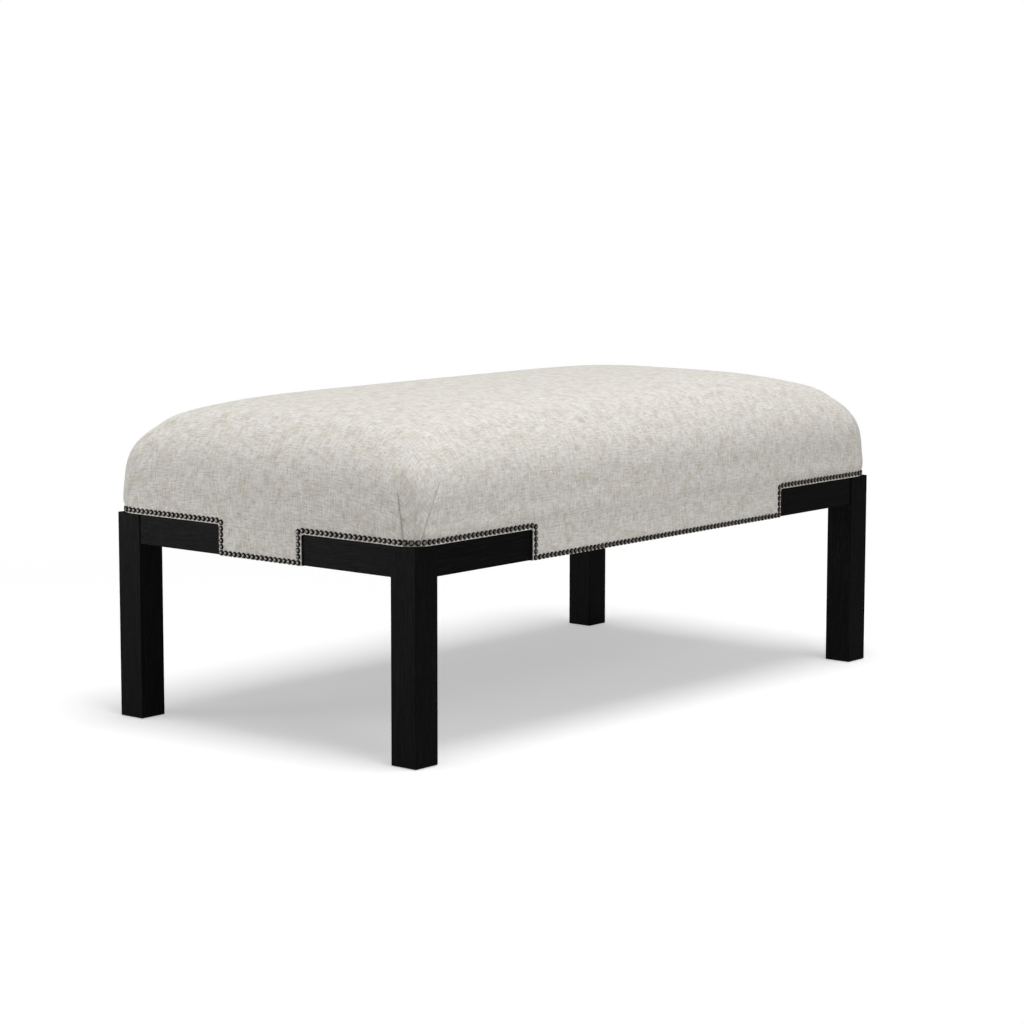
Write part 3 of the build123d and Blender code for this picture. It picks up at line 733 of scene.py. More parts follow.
@dataclass(frozen=True)
class TableSizes:
    """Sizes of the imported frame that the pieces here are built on.

    Attributes:
        half_length: From the middle to the cover's short side, along X.
        half_width: From the middle to its long side, along Y.
        top: Height of the cover.
        wood_top: Height of the legs and show rails.
        rail_x: Where the long show rails end, from the middle.
        rail_y: Where the short ones end.
        wall_x: Inner face of the short show rails, from the middle.
        wall_y: Inner face of the long ones.
        skirt_bottom: Height of the skirts' lower edge.
        deck_top: Height of the deck board.
    """

    half_length: float
    half_width: float
    top: float
    wood_top: float
    rail_x: float
    rail_y: float
    wall_x: float
    wall_y: float
    skirt_bottom: float
    deck_top: float

    @classmethod
    def from_frame(cls) -> "TableSizes":
        """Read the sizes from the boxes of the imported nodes.

        Returns:
            The sizes, in metres.
        """
        cover_low, cover_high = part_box("fabric_cover")
        long_low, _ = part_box("show_rail_back_right_long")
        short_low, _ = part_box("show_rail_back_right_short")
        return cls(
            half_length=cover_high.x,
            half_width=cover_high.y,
            top=cover_high.z,
            wood_top=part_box("leg_back_right")[1].z,
            rail_x=long_low.x,
            rail_y=short_low.y,
            wall_x=short_low.x,
            wall_y=long_low.y,
            skirt_bottom=cover_low.z,
            deck_top=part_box("deck_board")[1].z,
        )


# The padded top


@dataclass(frozen=True)
class PadForm:
    """The form of the upholstered top, for the cloth and, drawn in, for the layers inside it.

    A place on the top is given by two grid values, one for each axis. From -1 to 1 a value runs over the
    middle of the top; from there to 2, or -2, it runs out over the shoulder to the top of the upright wall.
    With ex and ey the shares of the shoulder passed on each axis, e is the power mean (ex^k + ey^k)^(1/k),
    and the height is base + rise (1 - e^n)^(1/m) + crown (1 - |x/a|^p)(1 - |y/b|^q).

    Attributes:
        half_length: a, half the size along X.
        half_width: b, half the size along Y.
        base: Height of the wall's foot.
        top: Height of the middle of the top.
        shoulder: Width of the shoulder in plan.
        crown: How far the middle stands above the shoulder.
        corner_power: k.
        roll_power: n.
        drop_power: m.
        crown_power_x: p.
        crown_power_y: q.
        wall_share: The share of the rise that is built as upright wall, in loops.
    """

    half_length: float
    half_width: float
    base: float
    top: float
    shoulder: float = 80.0 * MM
    crown: float = 50.1 * MM
    corner_power: float = 5.085
    roll_power: float = 1.503
    drop_power: float = 5.121
    crown_power_x: float = 7.27
    crown_power_y: float = 3.58
    wall_share: float = 0.62

    def drawn_in(self, inset: float) -> "PadForm":
        """The same form with its sides and top drawn in by inset."""
        half_length, half_width = self.half_length - inset, self.half_width - inset
        return PadForm(half_length, half_width, self.base, self.top - inset, self.shoulder - inset)

    @property
    def rise(self) -> float:
        """Height of the shoulder above the base."""
        return self.top - self.base - self.crown

    def crown_at(self, x: np.ndarray, y: np.ndarray) -> np.ndarray:
        """Height that the crown adds at x, y."""
        share_x = 1 - np.clip(np.abs(x) / self.half_length, 0, 1) ** self.crown_power_x
        share_y = 1 - np.clip(np.abs(y) / self.half_width, 0, 1) ** self.crown_power_y
        return self.crown * share_x * share_y

    def edge_at(self, level: np.ndarray | float) -> np.ndarray | float:
        """The value of e at a height above the base, on the way up the wall."""
        return (1 - np.clip(level / self.rise, 0, 1) ** self.drop_power) ** (1 / self.roll_power)

    def plan(
        self, x_value: np.ndarray, y_value: np.ndarray, edge: np.ndarray | float
    ) -> tuple[np.ndarray, np.ndarray, np.ndarray, np.ndarray]:
        """Where grid values lie in plan, with e equal to edge at the grid's rim.

        On the shoulder a square ring of the grid, whose larger share is g, becomes the ring e = edge g, so
        its corner is rounded by the power mean.

        Args:
            x_value: Grid values along X.
            y_value: Grid values along Y, of the same shape.
            edge: The value of e that the rim of the grid has, which may differ from row to row.

        Returns:
            Places x and y, the shares ex, ey on a last axis, and e.
        """
        share = np.stack([np.clip(np.abs(v) - 1, 0, 1) for v in (x_value, y_value)], axis=-1)
        largest = share.max(axis=-1)
        mean = (share**self.corner_power).sum(axis=-1) ** (1 / self.corner_power)
        scale = np.divide(largest, mean, out=np.zeros_like(mean), where=mean > 0) * edge
        share = share * scale[..., None]
        flat_x = np.clip(x_value, -1, 1) * (self.half_length - self.shoulder)
        flat_y = np.clip(y_value, -1, 1) * (self.half_width - self.shoulder)
        x = flat_x + np.sign(x_value) * self.shoulder * share[..., 0]
        y = flat_y + np.sign(y_value) * self.shoulder * share[..., 1]
        return x, y, share, largest * edge

    def top_points(self, qx: np.ndarray, qy: np.ndarray) -> tuple[np.ndarray, np.ndarray]:
        """Points of the top for grid lines qx and qy.

        Args:
            qx: Grid values along X.
            qy: Grid values along Y.

        Returns:
            Points by row and column, and the shares ex, ey at them.
        """
        x, y, share, e = self.plan(*np.meshgrid(qx, qy), self.edge_at(self.rise * self.wall_share))
        roll = self.rise * (1 - e**self.roll_power) ** (1 / self.drop_power)
        return np.stack([x, y, self.base + roll + self.crown_at(x, y)], axis=-1), share

    def wall_points(
        self, ring: tuple[np.ndarray, np.ndarray], levels: np.ndarray
    ) -> tuple[np.ndarray, np.ndarray]:
        """Points of the upright wall, a loop for each level.

        Args:
            ring: Grid values along X and along Y of the loop's points.
            levels: Heights above the base, rising.

        Returns:
            Points by level and place in the loop, and the shares ex, ey at them.
        """
        x, y, share, _ = self.plan(ring[0][None], ring[1][None], self.edge_at(levels)[:, None])
        crown = self.crown_at(x, y) * step(levels, 0, self.rise * self.wall_share / 2)[:, None]
        return np.stack([x, y, self.base + levels[:, None] + crown], axis=-1), share

    def grid_lines(
        self, half: float, spacing: float, shoulder_lines: int, through: Sequence[float]
    ) -> np.ndarray:
        """Grid values of the lines along one axis, the same on both sides of the middle.

        Args:
            half: Half the form's size on that axis.
            spacing: Distance between the lines in the middle.
            shoulder_lines: Number of steps across the shoulder.
            through: Distances from the middle that a line has to pass through.

        Returns:
            Rising grid values from -2 to 2.
        """
        stops = [0.0, *sorted(through), half - self.shoulder]
        pieces = [
            np.linspace(a, b, max(round((b - a) / spacing), 1), endpoint=False)
            for a, b in zip(stops, stops[1:])
        ]
        middle = np.concatenate(pieces) / (half - self.shoulder)
        side = np.concatenate([middle, 1 + np.arange(shoulder_lines + 1) / shoulder_lines])
        return np.concatenate([-side[:0:-1], side])

    def block(self, floor: float, spacing: float, shoulder_lines: int, closed: bool = True) -> Surface:
        """The form above a flat floor: top and wall, and the underside where it is closed.

        Args:
            floor: Height of the underside.
            spacing: Distance between grid lines.
            shoulder_lines: Number of steps across the shoulder.
            closed: Whether the underside is there.

        Returns:
            The surface, facing outwards.
        """
        qx = self.grid_lines(self.half_length, spacing, shoulder_lines, ())
        qy = self.grid_lines(self.half_width, spacing, shoulder_lines, ())
        top, _ = self.top_points(qx, qy)
        wall_top = self.rise * self.wall_share
        low = floor - self.base
        levels = np.linspace(low, wall_top, round((wall_top - low) / spacing) + 1)
        wall, _ = self.wall_points(loop_round(qx, qy), levels)
        wall[0, :, 2] = floor
        parts = [Surface(wall.reshape(-1, 3), grid_faces(*wall.shape[:2], closed=True))]
        if closed:
            x, y, _, _ = self.plan(*np.meshgrid(qx, qy), self.edge_at(low))
            under = np.stack([x, y, np.full_like(x, floor)], axis=-1)
            parts.append(Surface(under.reshape(-1, 3), grid_faces(*under.shape[:2])[:, ::-1]))
        return Surface(top.reshape(-1, 3), grid_faces(*top.shape[:2])).joined(*parts).welded()[0]


@dataclass(frozen=True)
class Fold:
    """One edge of a corner pleat: how far from the corner's middle line it runs, and how high it reaches.

    At a share t of its height it lies near + (far - near) t^power from the middle line.
    """

    near: float
    far: float
    height: float
    power: float = 1.35

    def lapped(self, away: np.ndarray, level: np.ndarray, lap: float) -> tuple[np.ndarray, np.ndarray]:
        """How far the folded cloth stands out beyond the fold's edge, and how deep a place is in its crease.

        Args:
            away: Distance from the corner's middle line.
            level: Height above the foot of the cloth.
            lap: Thickness of the lapped cloth.

        Returns:
            Distances along the outward normal, and the crease's shares from 0 to 1.
        """
        share = np.clip(level / self.height, 0, 1)
        beyond = away - (self.near + (self.far - self.near) * share**self.power)
        fade = 1 - step(share, 0.75, 1.0)
        stands = lap * step(beyond, -0.3 * lap, 0.6 * lap) * np.exp(-np.clip(beyond, 0, None) / (18 * lap))
        return fade * stands, fade * dent(beyond + 0.4 * lap, 0.75 * lap)

    def inside(self, away: np.ndarray, level: np.ndarray) -> np.ndarray:
        """Whether places lie between the middle line and the fold's edge."""
        share = np.clip(level / self.height, 0, 1)
        return away < self.near + (self.far - self.near) * share**self.power


@dataclass(frozen=True)
class ClothRun:
    """A short run of Blender's cloth simulation, in which the nailed cloth settles over its padding.

    Attributes:
        frames: How many frames the cloth has to come to rest.
        quality: Steps in each frame.
        mass: Mass of each point of the mesh.
        tension: Stiffness against stretching, and against squeezing.
        shear: Stiffness against shearing.
        bending: Stiffness against bending.
        pressure: Pressure on the inside.
        swell: How far the cloth starts drawn in, and the most that a point may end outside its full size.
        sink_share: The most that a point may end inside, as a share of the swell. It is small, so that the
            padding stays covered.
        free_swells: Height above the nailed part, in swells, over which the cloth comes free.
        rounds: How often the movement is evened out, which takes away the crumples of a coarse mesh.
    """

    frames: int = 20
    quality: int = 6
    mass: float = 0.3
    tension: float = 40.0
    shear: float = 15.0
    bending: float = 6.0
    pressure: float = 4.0
    swell: float = 1.5 * MM
    sink_share: float = 0.25
    free_swells: float = 6.0
    rounds: int = 12

    def relax(self, shell: Surface, held_below: float) -> np.ndarray:
        """Blow a thin cloth shell out from a slightly smaller shape and let it come to rest.

        Args:
            shell: The cloth at its full size.
            held_below: Points lower than this are nailed down.

        Returns:
            How far each point ends from the full size, along its normal and about the median of all.
        """
        piece = shell.make("cloth_being_relaxed")
        normals = np.zeros(len(shell.points) * 3, np.float32)
        piece.data.vertices.foreach_get("normal", normals)
        normals = normals.reshape(-1, 3)
        free = step(shell.points[:, 2], held_below, held_below + self.free_swells * self.swell)[:, None]
        start = shell.points - normals * self.swell * free
        piece.data.vertices.foreach_set("co", start.astype(np.float32).ravel())
        held = piece.vertex_groups.new(name="held")
        held.add(np.flatnonzero(shell.points[:, 2] < held_below).tolist(), 1.0, "REPLACE")
        cloth = piece.modifiers.new("cloth", "CLOTH")
        cloth.settings.vertex_group_mass = held.name
        cloth.settings.quality = self.quality
        cloth.settings.mass = self.mass
        cloth.settings.tension_stiffness = self.tension
        cloth.settings.compression_stiffness = self.tension
        cloth.settings.shear_stiffness = self.shear
        cloth.settings.bending_stiffness = self.bending
        cloth.settings.use_pressure = True
        cloth.settings.uniform_pressure_force = self.pressure
        cloth.settings.effector_weights.gravity = 0
        cloth.collision_settings.use_collision = False
        scene = bpy.context.scene
        for frame in range(1, self.frames + 1):
            scene.frame_set(frame)
        graph = bpy.context.evaluated_depsgraph_get()
        relaxed = np.zeros(len(shell.points) * 3, np.float32)
        piece.evaluated_get(graph).data.vertices.foreach_get("co", relaxed)
        scene.frame_set(1)
        mesh = piece.data
        bpy.data.objects.remove(piece)
        bpy.data.meshes.remove(mesh)
        outward = ((relaxed.reshape(-1, 3) - shell.points) * normals).sum(axis=1, keepdims=True)
        outward = evened(outward - np.median(outward[free > 0.5]), shell.faces, self.rounds)
        LOG.info("cloth lies %.1f mm in to %.1f mm out", -outward.min() / MM, outward.max() / MM)
        limit = np.where(outward > 0, self.swell, self.swell * self.sink_share)
        return normals * free * limit * np.tanh(outward / limit)


@dataclass
class PaddedTop:
    """The upholstered top: cloth with skirts, hems and corner pleats, over wadding and a foam block.

    Attributes:
        sizes: The frame's sizes.
        rail_round: Radius of the cloth's edge round the end of a show rail.
        cloth_thick: Thickness of the cloth.
        edge_roll: Radius of the turned edge above the wood.
        hem_radius: Radius of the skirt's lower edge.
        gutter: How deep the studs pull the cloth in.
        gutter_width: Reach of that groove to each side.
        stud_offset: Distance of the studs from the wood.
        skirt_stud: Height of the studs above the skirt's lower edge.
        spacing: Distance between the cloth's grid lines in the middle of the top.
        shoulder_lines: Grid lines across the cloth's shoulder.
        wall_spacing: Distance between the loops of the cloth's wall.
        coarse_spacing: Distance between grid lines of the cloth to simulate and of the padding.
        coarse_shoulder: Grid lines across the shoulder of the cloth to simulate.
        coarse_levels: Loops of its wall.
        padding_shoulder: Grid lines across the padding's shoulder.
        skirt_rows: Points of a skirt's straight drop.
        hem_points: Points of its rounded hem.
        under_points: Points of the part that is turned in under the apron.
        lap: How far a folded edge stands out.
        crease: Depth of the crease beside it.
        fullness: How far the gathered cloth stands out at a corner.
        fullness_width: Reach of that fullness to each side.
        nailed_share: The share of a pleat that is left where the studs hold it flat.
        foam_gap: Gap between the foam block and the wadding.
        long_fold: The fold on the long side of each corner.
        short_fold: The fold on its short side.
        cloth_run: The simulation that settles the cloth.
    """

    sizes: TableSizes
    rail_round: float = 4.5 * MM
    cloth_thick: float = 1.0 * MM
    edge_roll: float = 1.6 * MM
    hem_radius: float = 2.2 * MM
    gutter: float = 0.7 * MM
    gutter_width: float = 3.5 * MM
    stud_offset: float = 6.0 * MM
    skirt_stud: float = 4.9 * MM
    spacing: float = 11 * MM
    shoulder_lines: int = 86
    wall_spacing: float = 2.4 * MM
    coarse_spacing: float = 33 * MM
    coarse_shoulder: int = 8
    coarse_levels: int = 9
    padding_shoulder: int = 9
    skirt_rows: int = 22
    hem_points: int = 6
    under_points: int = 8
    lap: float = 1.8 * MM
    crease: float = 1.5 * MM
    fullness: float = 1.6 * MM
    fullness_width: float = 60 * MM
    nailed_share: float = 0.2
    foam_gap: float = 0.3 * MM
    long_fold: Fold = Fold(8 * MM, 59.7 * MM, 109 * MM)
    short_fold: Fold = Fold(17 * MM, 31.7 * MM, 93 * MM)
    cloth_run: ClothRun = ClothRun()
    form: PadForm = field(init=False)

    def __post_init__(self) -> None:
        """Set the pad's form from the frame's sizes."""
        s = self.sizes
        self.form = PadForm(s.half_length, s.half_width, s.wood_top, s.top)

    def notch_distance(self, points: np.ndarray, share: np.ndarray) -> np.ndarray:
        """Distance of points on the sides from the wood: the legs, the show rails and their rounded ends.

        Args:
            points: Points, with x, y, z on the last axis.
            share: The shares ex, ey there, whose larger one tells the side.

        Returns:
            The distance along the side's face, 0 at the cloth's edge.
        """
        on_long = share[..., 1] >= share[..., 0]
        along = np.where(on_long, np.abs(points[..., 0]), np.abs(points[..., 1]))
        reach = np.where(on_long, self.sizes.rail_x, self.sizes.rail_y) + self.rail_round
        inside = reach - along
        above = points[..., 2] - (self.form.base - self.rail_round)
        outer = np.hypot(np.clip(inside, 0, None), np.clip(above, 0, None))
        return outer + np.minimum(np.maximum(inside, above), 0) - self.rail_round

    def edge_offset(self, distance: np.ndarray) -> np.ndarray:
        """Offset of the cloth at a distance from its edge: rolled in there, and pulled in at the studs."""
        near = self.edge_roll - np.clip(distance, 0, self.edge_roll)
        roll = self.edge_roll - np.sqrt(np.clip(self.edge_roll**2 - near**2, 0, None))
        return -roll - self.gutter * dent(distance - self.stud_offset, self.gutter_width)

    def pleats(self, points: np.ndarray, share: np.ndarray) -> tuple[np.ndarray, np.ndarray]:
        """The pleats at the four corners: two folds to each, and a crease down its middle line.

        Args:
            points: Points of the top or the wall.
            share: The shares ex, ey there.

        Returns:
            Offsets along the outward normal, and how much of each place is in a crease, from 0 to 1.
        """
        away, on_long = self.from_corner(points, share)
        level = points[..., 2] - self.form.base
        folds = [fold.lapped(away, level, self.lap) for fold in (self.long_fold, self.short_fold)]
        stands, crease = (np.where(on_long, long, short) for long, short in zip(*folds))
        low = 1 - step(level, 0.5 * self.short_fold.height, self.short_fold.height)
        crease = np.maximum(crease, 0.7 * dent(away, 0.6 * self.lap) * low)
        full = self.fullness * dent(away, self.fullness_width) * (1 - step(level, 0, self.long_fold.height))
        freed = step(level, 1.5 * self.stud_offset, 3 * self.stud_offset)
        foot = self.nailed_share + (1 - self.nailed_share) * freed
        return (stands + full - self.crease * crease) * foot, crease

    def from_corner(self, points: np.ndarray, share: np.ndarray) -> tuple[np.ndarray, np.ndarray]:
        """Distance of points from the nearest corner's middle line, and whether they lie on a long side.

        Args:
            points: Points of the top or the wall.
            share: The shares ex, ey there.

        Returns:
            The distance in plan along the ring, and True on the long sides.
        """
        form = self.form
        e = (share**form.corner_power).sum(axis=-1) ** (1 / form.corner_power)
        middle = e * 2 ** (-1 / form.corner_power) * form.shoulder
        x = np.abs(points[..., 0]) - (form.half_length - form.shoulder + middle)
        y = np.abs(points[..., 1]) - (form.half_width - form.shoulder + middle)
        return np.hypot(x, y), share[..., 1] >= share[..., 0]

    def lines(self) -> tuple[np.ndarray, np.ndarray]:
        """Grid lines that pass through the ends of the show rails and lie close together beside them.

        Returns:
            Grid values along X and along Y.
        """
        beside_shares = np.array([0, 0.08, 0.25, 0.55, 1.0, 1.6, 2.4])
        through_x = self.sizes.rail_x + self.rail_round - self.rail_round * beside_shares
        through_y = self.sizes.rail_y + self.rail_round - self.rail_round * beside_shares
        form = self.form
        return (
            form.grid_lines(form.half_length, self.spacing, self.shoulder_lines, through_x),
            form.grid_lines(form.half_width, self.spacing, self.shoulder_lines, through_y),
        )

    def levels(self) -> np.ndarray:
        """Heights of the wall's loops above the cloth's foot: close together at its rolled edge."""
        wall_top = self.form.rise * self.form.wall_share
        foot_shares = np.array([0, 0.15, 0.45, 1.0, 1.9, 2.9, 3.9, 4.9])
        foot = self.edge_roll * foot_shares
        rest = np.linspace(foot[-1], wall_top, 1 + round((wall_top - foot[-1]) / self.wall_spacing))
        return np.concatenate([foot, rest[1:]])

    def swelling(self) -> tuple[Callable[..., np.ndarray], Callable[..., np.ndarray]]:
        """Simulate the cloth over its padding on a coarse grid, held along its nailed edge.

        The grid is an even one, because cloth crumples on narrow cells. What is left of the simulation is
        how far the relaxed cloth lies from the plain form.

        Returns:
            Two functions that read the displacement: at the top's grid lines, and at a ring's levels.
        """
        form = self.form
        qx = form.grid_lines(form.half_length, self.coarse_spacing, self.coarse_shoulder, ())
        qy = form.grid_lines(form.half_width, self.coarse_spacing, self.coarse_shoulder, ())
        levels = np.linspace(0, form.rise * form.wall_share, self.coarse_levels)
        ring = loop_round(qx, qy)
        top, _ = form.top_points(qx, qy)
        wall, _ = form.wall_points(ring, levels)
        parts = Surface(top.reshape(-1, 3), grid_faces(*top.shape[:2])).joined(
            Surface(wall.reshape(-1, 3), grid_faces(*wall.shape[:2], closed=True))
        )
        shell, number = parts.welded()
        LOG.info("cloth to simulate has %d points", len(shell.points))
        moved = self.cloth_run.relax(shell, form.base + self.stud_offset * 2)[number]
        top_count = top.shape[0] * top.shape[1]
        top_moved = moved[:top_count].reshape(top.shape)
        wall_moved = moved[top_count:].reshape(wall.shape)

        def read_top(fine_x: np.ndarray, fine_y: np.ndarray) -> np.ndarray:
            """The displacement at the top's finer grid lines."""
            return smooth_between(smooth_between(top_moved, qx, fine_x, 1), qy, fine_y, 0)

        def read_wall(fine: tuple[np.ndarray, np.ndarray], fine_levels: np.ndarray) -> np.ndarray:
            """The displacement at the wall's finer loops."""
            knots = ring_place(ring)
            wrap = np.concatenate([knots[-2:] - RING_LENGTH, knots, knots[:2] + RING_LENGTH])
            looped = np.concatenate([wall_moved[:, -2:], wall_moved, wall_moved[:, :2]], axis=1)
            return smooth_between(smooth_between(looped, wrap, ring_place(fine), 1), levels, fine_levels, 0)

        return read_top, read_wall

    def cover(self) -> tuple[Surface, np.ndarray]:
        """The cloth's outer face: top, wall, and on each side the skirt with its hem.

        Returns:
            The surface, with the cloth map in metres of cloth, and how much of each point is in a crease.
        """
        form = self.form
        qx, qy = self.lines()
        ring = loop_round(qx, qy)
        levels = self.levels()
        top, top_share = form.top_points(qx, qy)
        wall, wall_share = form.wall_points(ring, levels)
        across, up = path_lengths(top, 1), path_lengths(top, 0)
        middle_x, middle_y = len(qx) // 2, len(qy) // 2
        cloth_top = np.stack([across - across[:, [middle_x]], up - up[[middle_y]]], axis=-1)
        columns, rows = (line.astype(int) for line in loop_round(np.arange(len(qx)), np.arange(len(qy))))
        drop = path_lengths(wall[::-1], 0)[::-1]
        top_normal, wall_normal = normals_of(top), normals_of(wall, closed=True)
        read_top, read_wall = self.swelling()
        top = top + read_top(qx, qy)
        wall = wall + read_wall(ring, levels) * step(levels, 0, 3 * self.edge_roll)[:, None, None]
        wall[-1] = top[rows, columns]
        rim_normal = top_normal[rows, columns] + wall_normal[-1]
        rim_normal /= np.linalg.norm(rim_normal, axis=-1, keepdims=True)
        wall_normal[-1] = rim_normal
        top_normal[rows, columns] = rim_normal
        wall_normal[0, :, 2] = 0
        wall_normal[0] /= np.linalg.norm(wall_normal[0], axis=-1, keepdims=True)
        top_pleats, top_crease = self.pleats(top, top_share)
        wall_pleats, wall_crease = self.pleats(wall, wall_share)
        top = top + top_normal * top_pleats[..., None]
        edge = self.edge_offset(self.notch_distance(wall, wall_share))
        wall = wall + wall_normal * (wall_pleats + edge)[..., None]
        wall[0, :, 2] = form.base
        faces_top = grid_faces(*top.shape[:2])
        parts = [self.wall_surface(wall, wall_share, drop, cloth_top[rows, columns])]
        turns = {"front": (0, qx), "right": (1, qy), "back": (2, qx), "left": (3, qy)}
        for side, (turn, q) in turns.items():
            parts.append(self.skirt(turn, q, drop[0].max(), cloth_top))
            LOG.debug("skirt of the %s side added", side)
        shell = Surface(top.reshape(-1, 3), faces_top, face_cloth(cloth_top, faces_top)).joined(*parts)
        whole, number = shell.welded()
        creases = np.concatenate([top_crease.ravel(), wall_crease.ravel()])
        crease = np.zeros(len(whole.points))
        crease[number[: len(creases)]] = creases
        return whole, crease

    def wall_surface(
        self, wall: np.ndarray, share: np.ndarray, drop: np.ndarray, rim_cloth: np.ndarray
    ) -> Surface:
        """The wall with its cloth map: threads run straight down the sides and slanting inside the pleats.

        Args:
            wall: Points by level and place in the loop.
            share: The shares ex, ey there.
            drop: Length of cloth from the wall's top down to each point.
            rim_cloth: The cloth map's values at the wall's top.

        Returns:
            The wall's surface.
        """
        faces = grid_faces(*wall.shape[:2], closed=True)
        centre = wall.reshape(-1, 3)[faces].mean(axis=1)
        centre_share = share.reshape(-1, 2)[faces].mean(axis=1)
        away, on_long = self.from_corner(centre, centre_share)
        level = centre[:, 2] - self.form.base
        bias = np.where(on_long, self.long_fold.inside(away, level), self.short_fold.inside(away, level))
        sign = np.sign(centre[:, :2])
        straight = np.where(on_long[:, None], sign * (0, 1), sign * (1, 0))
        ways = np.where(bias[:, None], sign / math.sqrt(2), straight)
        start = np.broadcast_to(rim_cloth, (*wall.shape[:2], 2)).reshape(-1, 2)[faces]
        cloth = start + ways[:, None, :] * drop.reshape(-1)[faces][..., None]
        return Surface(wall.reshape(-1, 3), faces, cloth)

    def skirt(self, turn: int, q: np.ndarray, start_drop: float, cloth_top: np.ndarray) -> Surface:
        """The skirt of one side: straight down to the hem, round its edge and in under the apron.

        It is worked out for the front side and turned about the middle of the table. In the front's own axes
        a level's half width is rail + round - sqrt(round^2 - depth^2) beside the rail's rounded end.

        Args:
            turn: Quarter turns from the front side.
            q: Grid values along the side.
            start_drop: Length of cloth above the skirt.
            cloth_top: The cloth map's values on the top, for where its threads start.

        Returns:
            The skirt's surface.
        """
        s = self.sizes
        on_long = turn % 2 == 0
        half, face, rail, wall = (
            (s.half_length, s.half_width, s.rail_x, s.wall_y)
            if on_long
            else (s.half_width, s.half_length, s.rail_y, s.wall_x)
        )
        reach = rail + self.rail_round
        along = q[np.abs(q) <= 1] * (half - self.form.shoulder)
        along = along[np.abs(along) <= reach + TOUCH]
        rounding_shares = np.array([0, 0.1, 0.3, 0.6, 1.0])
        rounding = self.rail_round * rounding_shares
        straight_top, straight_foot = s.wood_top - self.rail_round, s.skirt_bottom + self.hem_radius
        straight = np.linspace(straight_top, straight_foot, self.skirt_rows)
        angle = np.linspace(0, math.pi / 2, self.hem_points)[1:]
        under = np.linspace(face - self.hem_radius, wall, self.under_points)[1:]
        z = np.concatenate(
            [
                s.wood_top - rounding[:-1],
                straight,
                s.skirt_bottom + self.hem_radius * (1 - np.sin(angle)),
                np.full(len(under), s.skirt_bottom),
            ]
        )
        out = np.concatenate(
            [
                np.full(len(rounding) - 1 + len(straight), face),
                face - self.hem_radius * (1 - np.cos(angle)),
                under,
            ]
        )
        fallen = np.clip(z - straight_top, 0, None)
        half_width = reach - np.sqrt(self.rail_round**2 - fallen**2)
        x = along[None] / reach * half_width[:, None]
        level = np.broadcast_to(z[:, None], x.shape)
        above = level - straight_top
        inside = reach - np.abs(x)
        distance = np.hypot(np.clip(inside, 0, None), np.clip(above, 0, None)) - self.rail_round
        offset = self.edge_offset(distance)
        foot = self.gutter * dent(level - (s.skirt_bottom + self.skirt_stud), self.gutter_width)
        down = (out >= face - TOUCH)[:, None]
        outward = out[:, None] + np.where(down, offset - foot, offset - foot[down[:, 0]][-1:])
        depth = start_drop + path_lengths(np.stack([out, z], axis=-1)[:, None], 0)[:, 0]
        points = np.stack([x, -outward, level], axis=-1)
        middle_row = cloth_top[0] if on_long else cloth_top[:, -1]
        rim = abs(middle_row[len(middle_row) // 2][1 if on_long else 0])
        cloth = np.stack(np.broadcast_arrays(x, -(rim + depth)[:, None]), axis=-1)
        cosine, sine = ((1, 0), (0, 1), (-1, 0), (0, -1))[turn]
        spin = np.array([[cosine, -sine], [sine, cosine]])
        points[..., :2] = points[..., :2] @ spin.T
        faces = grid_faces(*x.shape)[:, ::-1]
        return Surface(points.reshape(-1, 3), faces, face_cloth(cloth @ spin.T, faces))

    def make(self, materials: dict[str, bpy.types.Material]) -> None:
        """Make the cover, the wadding and the foam block, and put them in place of their plain solids.

        Args:
            materials: Built materials for the cloth, the wadding and the foam.
        """
        surface, crease = self.cover()
        cover = surface.make("upholstery_cover", materials["cloth"])
        # The crease shares let the cloth's material paint shade deep in its creases
        mark(cover, "crease", crease)
        thicken(cover, self.cloth_thick)
        settle(cover, "linen_fabric", "fabric_cover")
        wadding_high, foam_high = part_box("wadding")[1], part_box("foam_block")[1]
        outer = self.form.drawn_in(self.sizes.half_length - wadding_high.x)
        inner = self.form.drawn_in(self.sizes.half_length - foam_high.x - self.foam_gap)
        core = self.form.drawn_in(self.sizes.half_length - foam_high.x)
        floor = self.sizes.deck_top
        shell = outer.block(floor, self.coarse_spacing, self.padding_shoulder, closed=False)
        lining = inner.block(floor, self.coarse_spacing, self.padding_shoulder, closed=False)
        low_outer = shell.points[shell.points[:, 2] < floor + TOUCH]
        low_inner = lining.points[lining.points[:, 2] < floor + TOUCH]
        rim = ring_between(low_outer, low_inner)
        wrap = Surface(shell.points, shell.faces).joined(Surface(lining.points, lining.faces[:, ::-1]), rim)
        wadding = wrap.welded()[0].make("wadding_wrap", materials["wadding"])
        settle(wadding, "wadding", "wadding")
        block = core.block(floor, self.coarse_spacing, self.padding_shoulder)
        foam = block.make("foam_core", materials["foam"])
        settle(foam, "foam", "foam_block")


def ring_place(ring: tuple[np.ndarray, np.ndarray]) -> np.ndarray:
    """Place of each point of a ring of grid values on a scale from 0 to RING_LENGTH, four for each side."""
    x, y = ring
    return np.select([y <= -2, x >= 2, y >= 2], [x + 2, y + 6, 10 - x], 14 - y)


def ring_between(outer: np.ndarray, inner: np.ndarray) -> Surface:
    """A flat ring of faces, looking down, between two loops of as many points about the middle of the table.

    Args:
        outer: The outer loop's points, in any order.
        inner: The inner loop's points, in any order.

    Returns:
        The ring's surface.
    """
    loops = [loop[np.argsort(np.arctan2(loop[:, 1], loop[:, 0]))] for loop in (outer, inner)]
    points = np.stack(loops)
    return Surface(points.reshape(-1, 3), grid_faces(2, len(outer), closed=True)[:, ::-1])


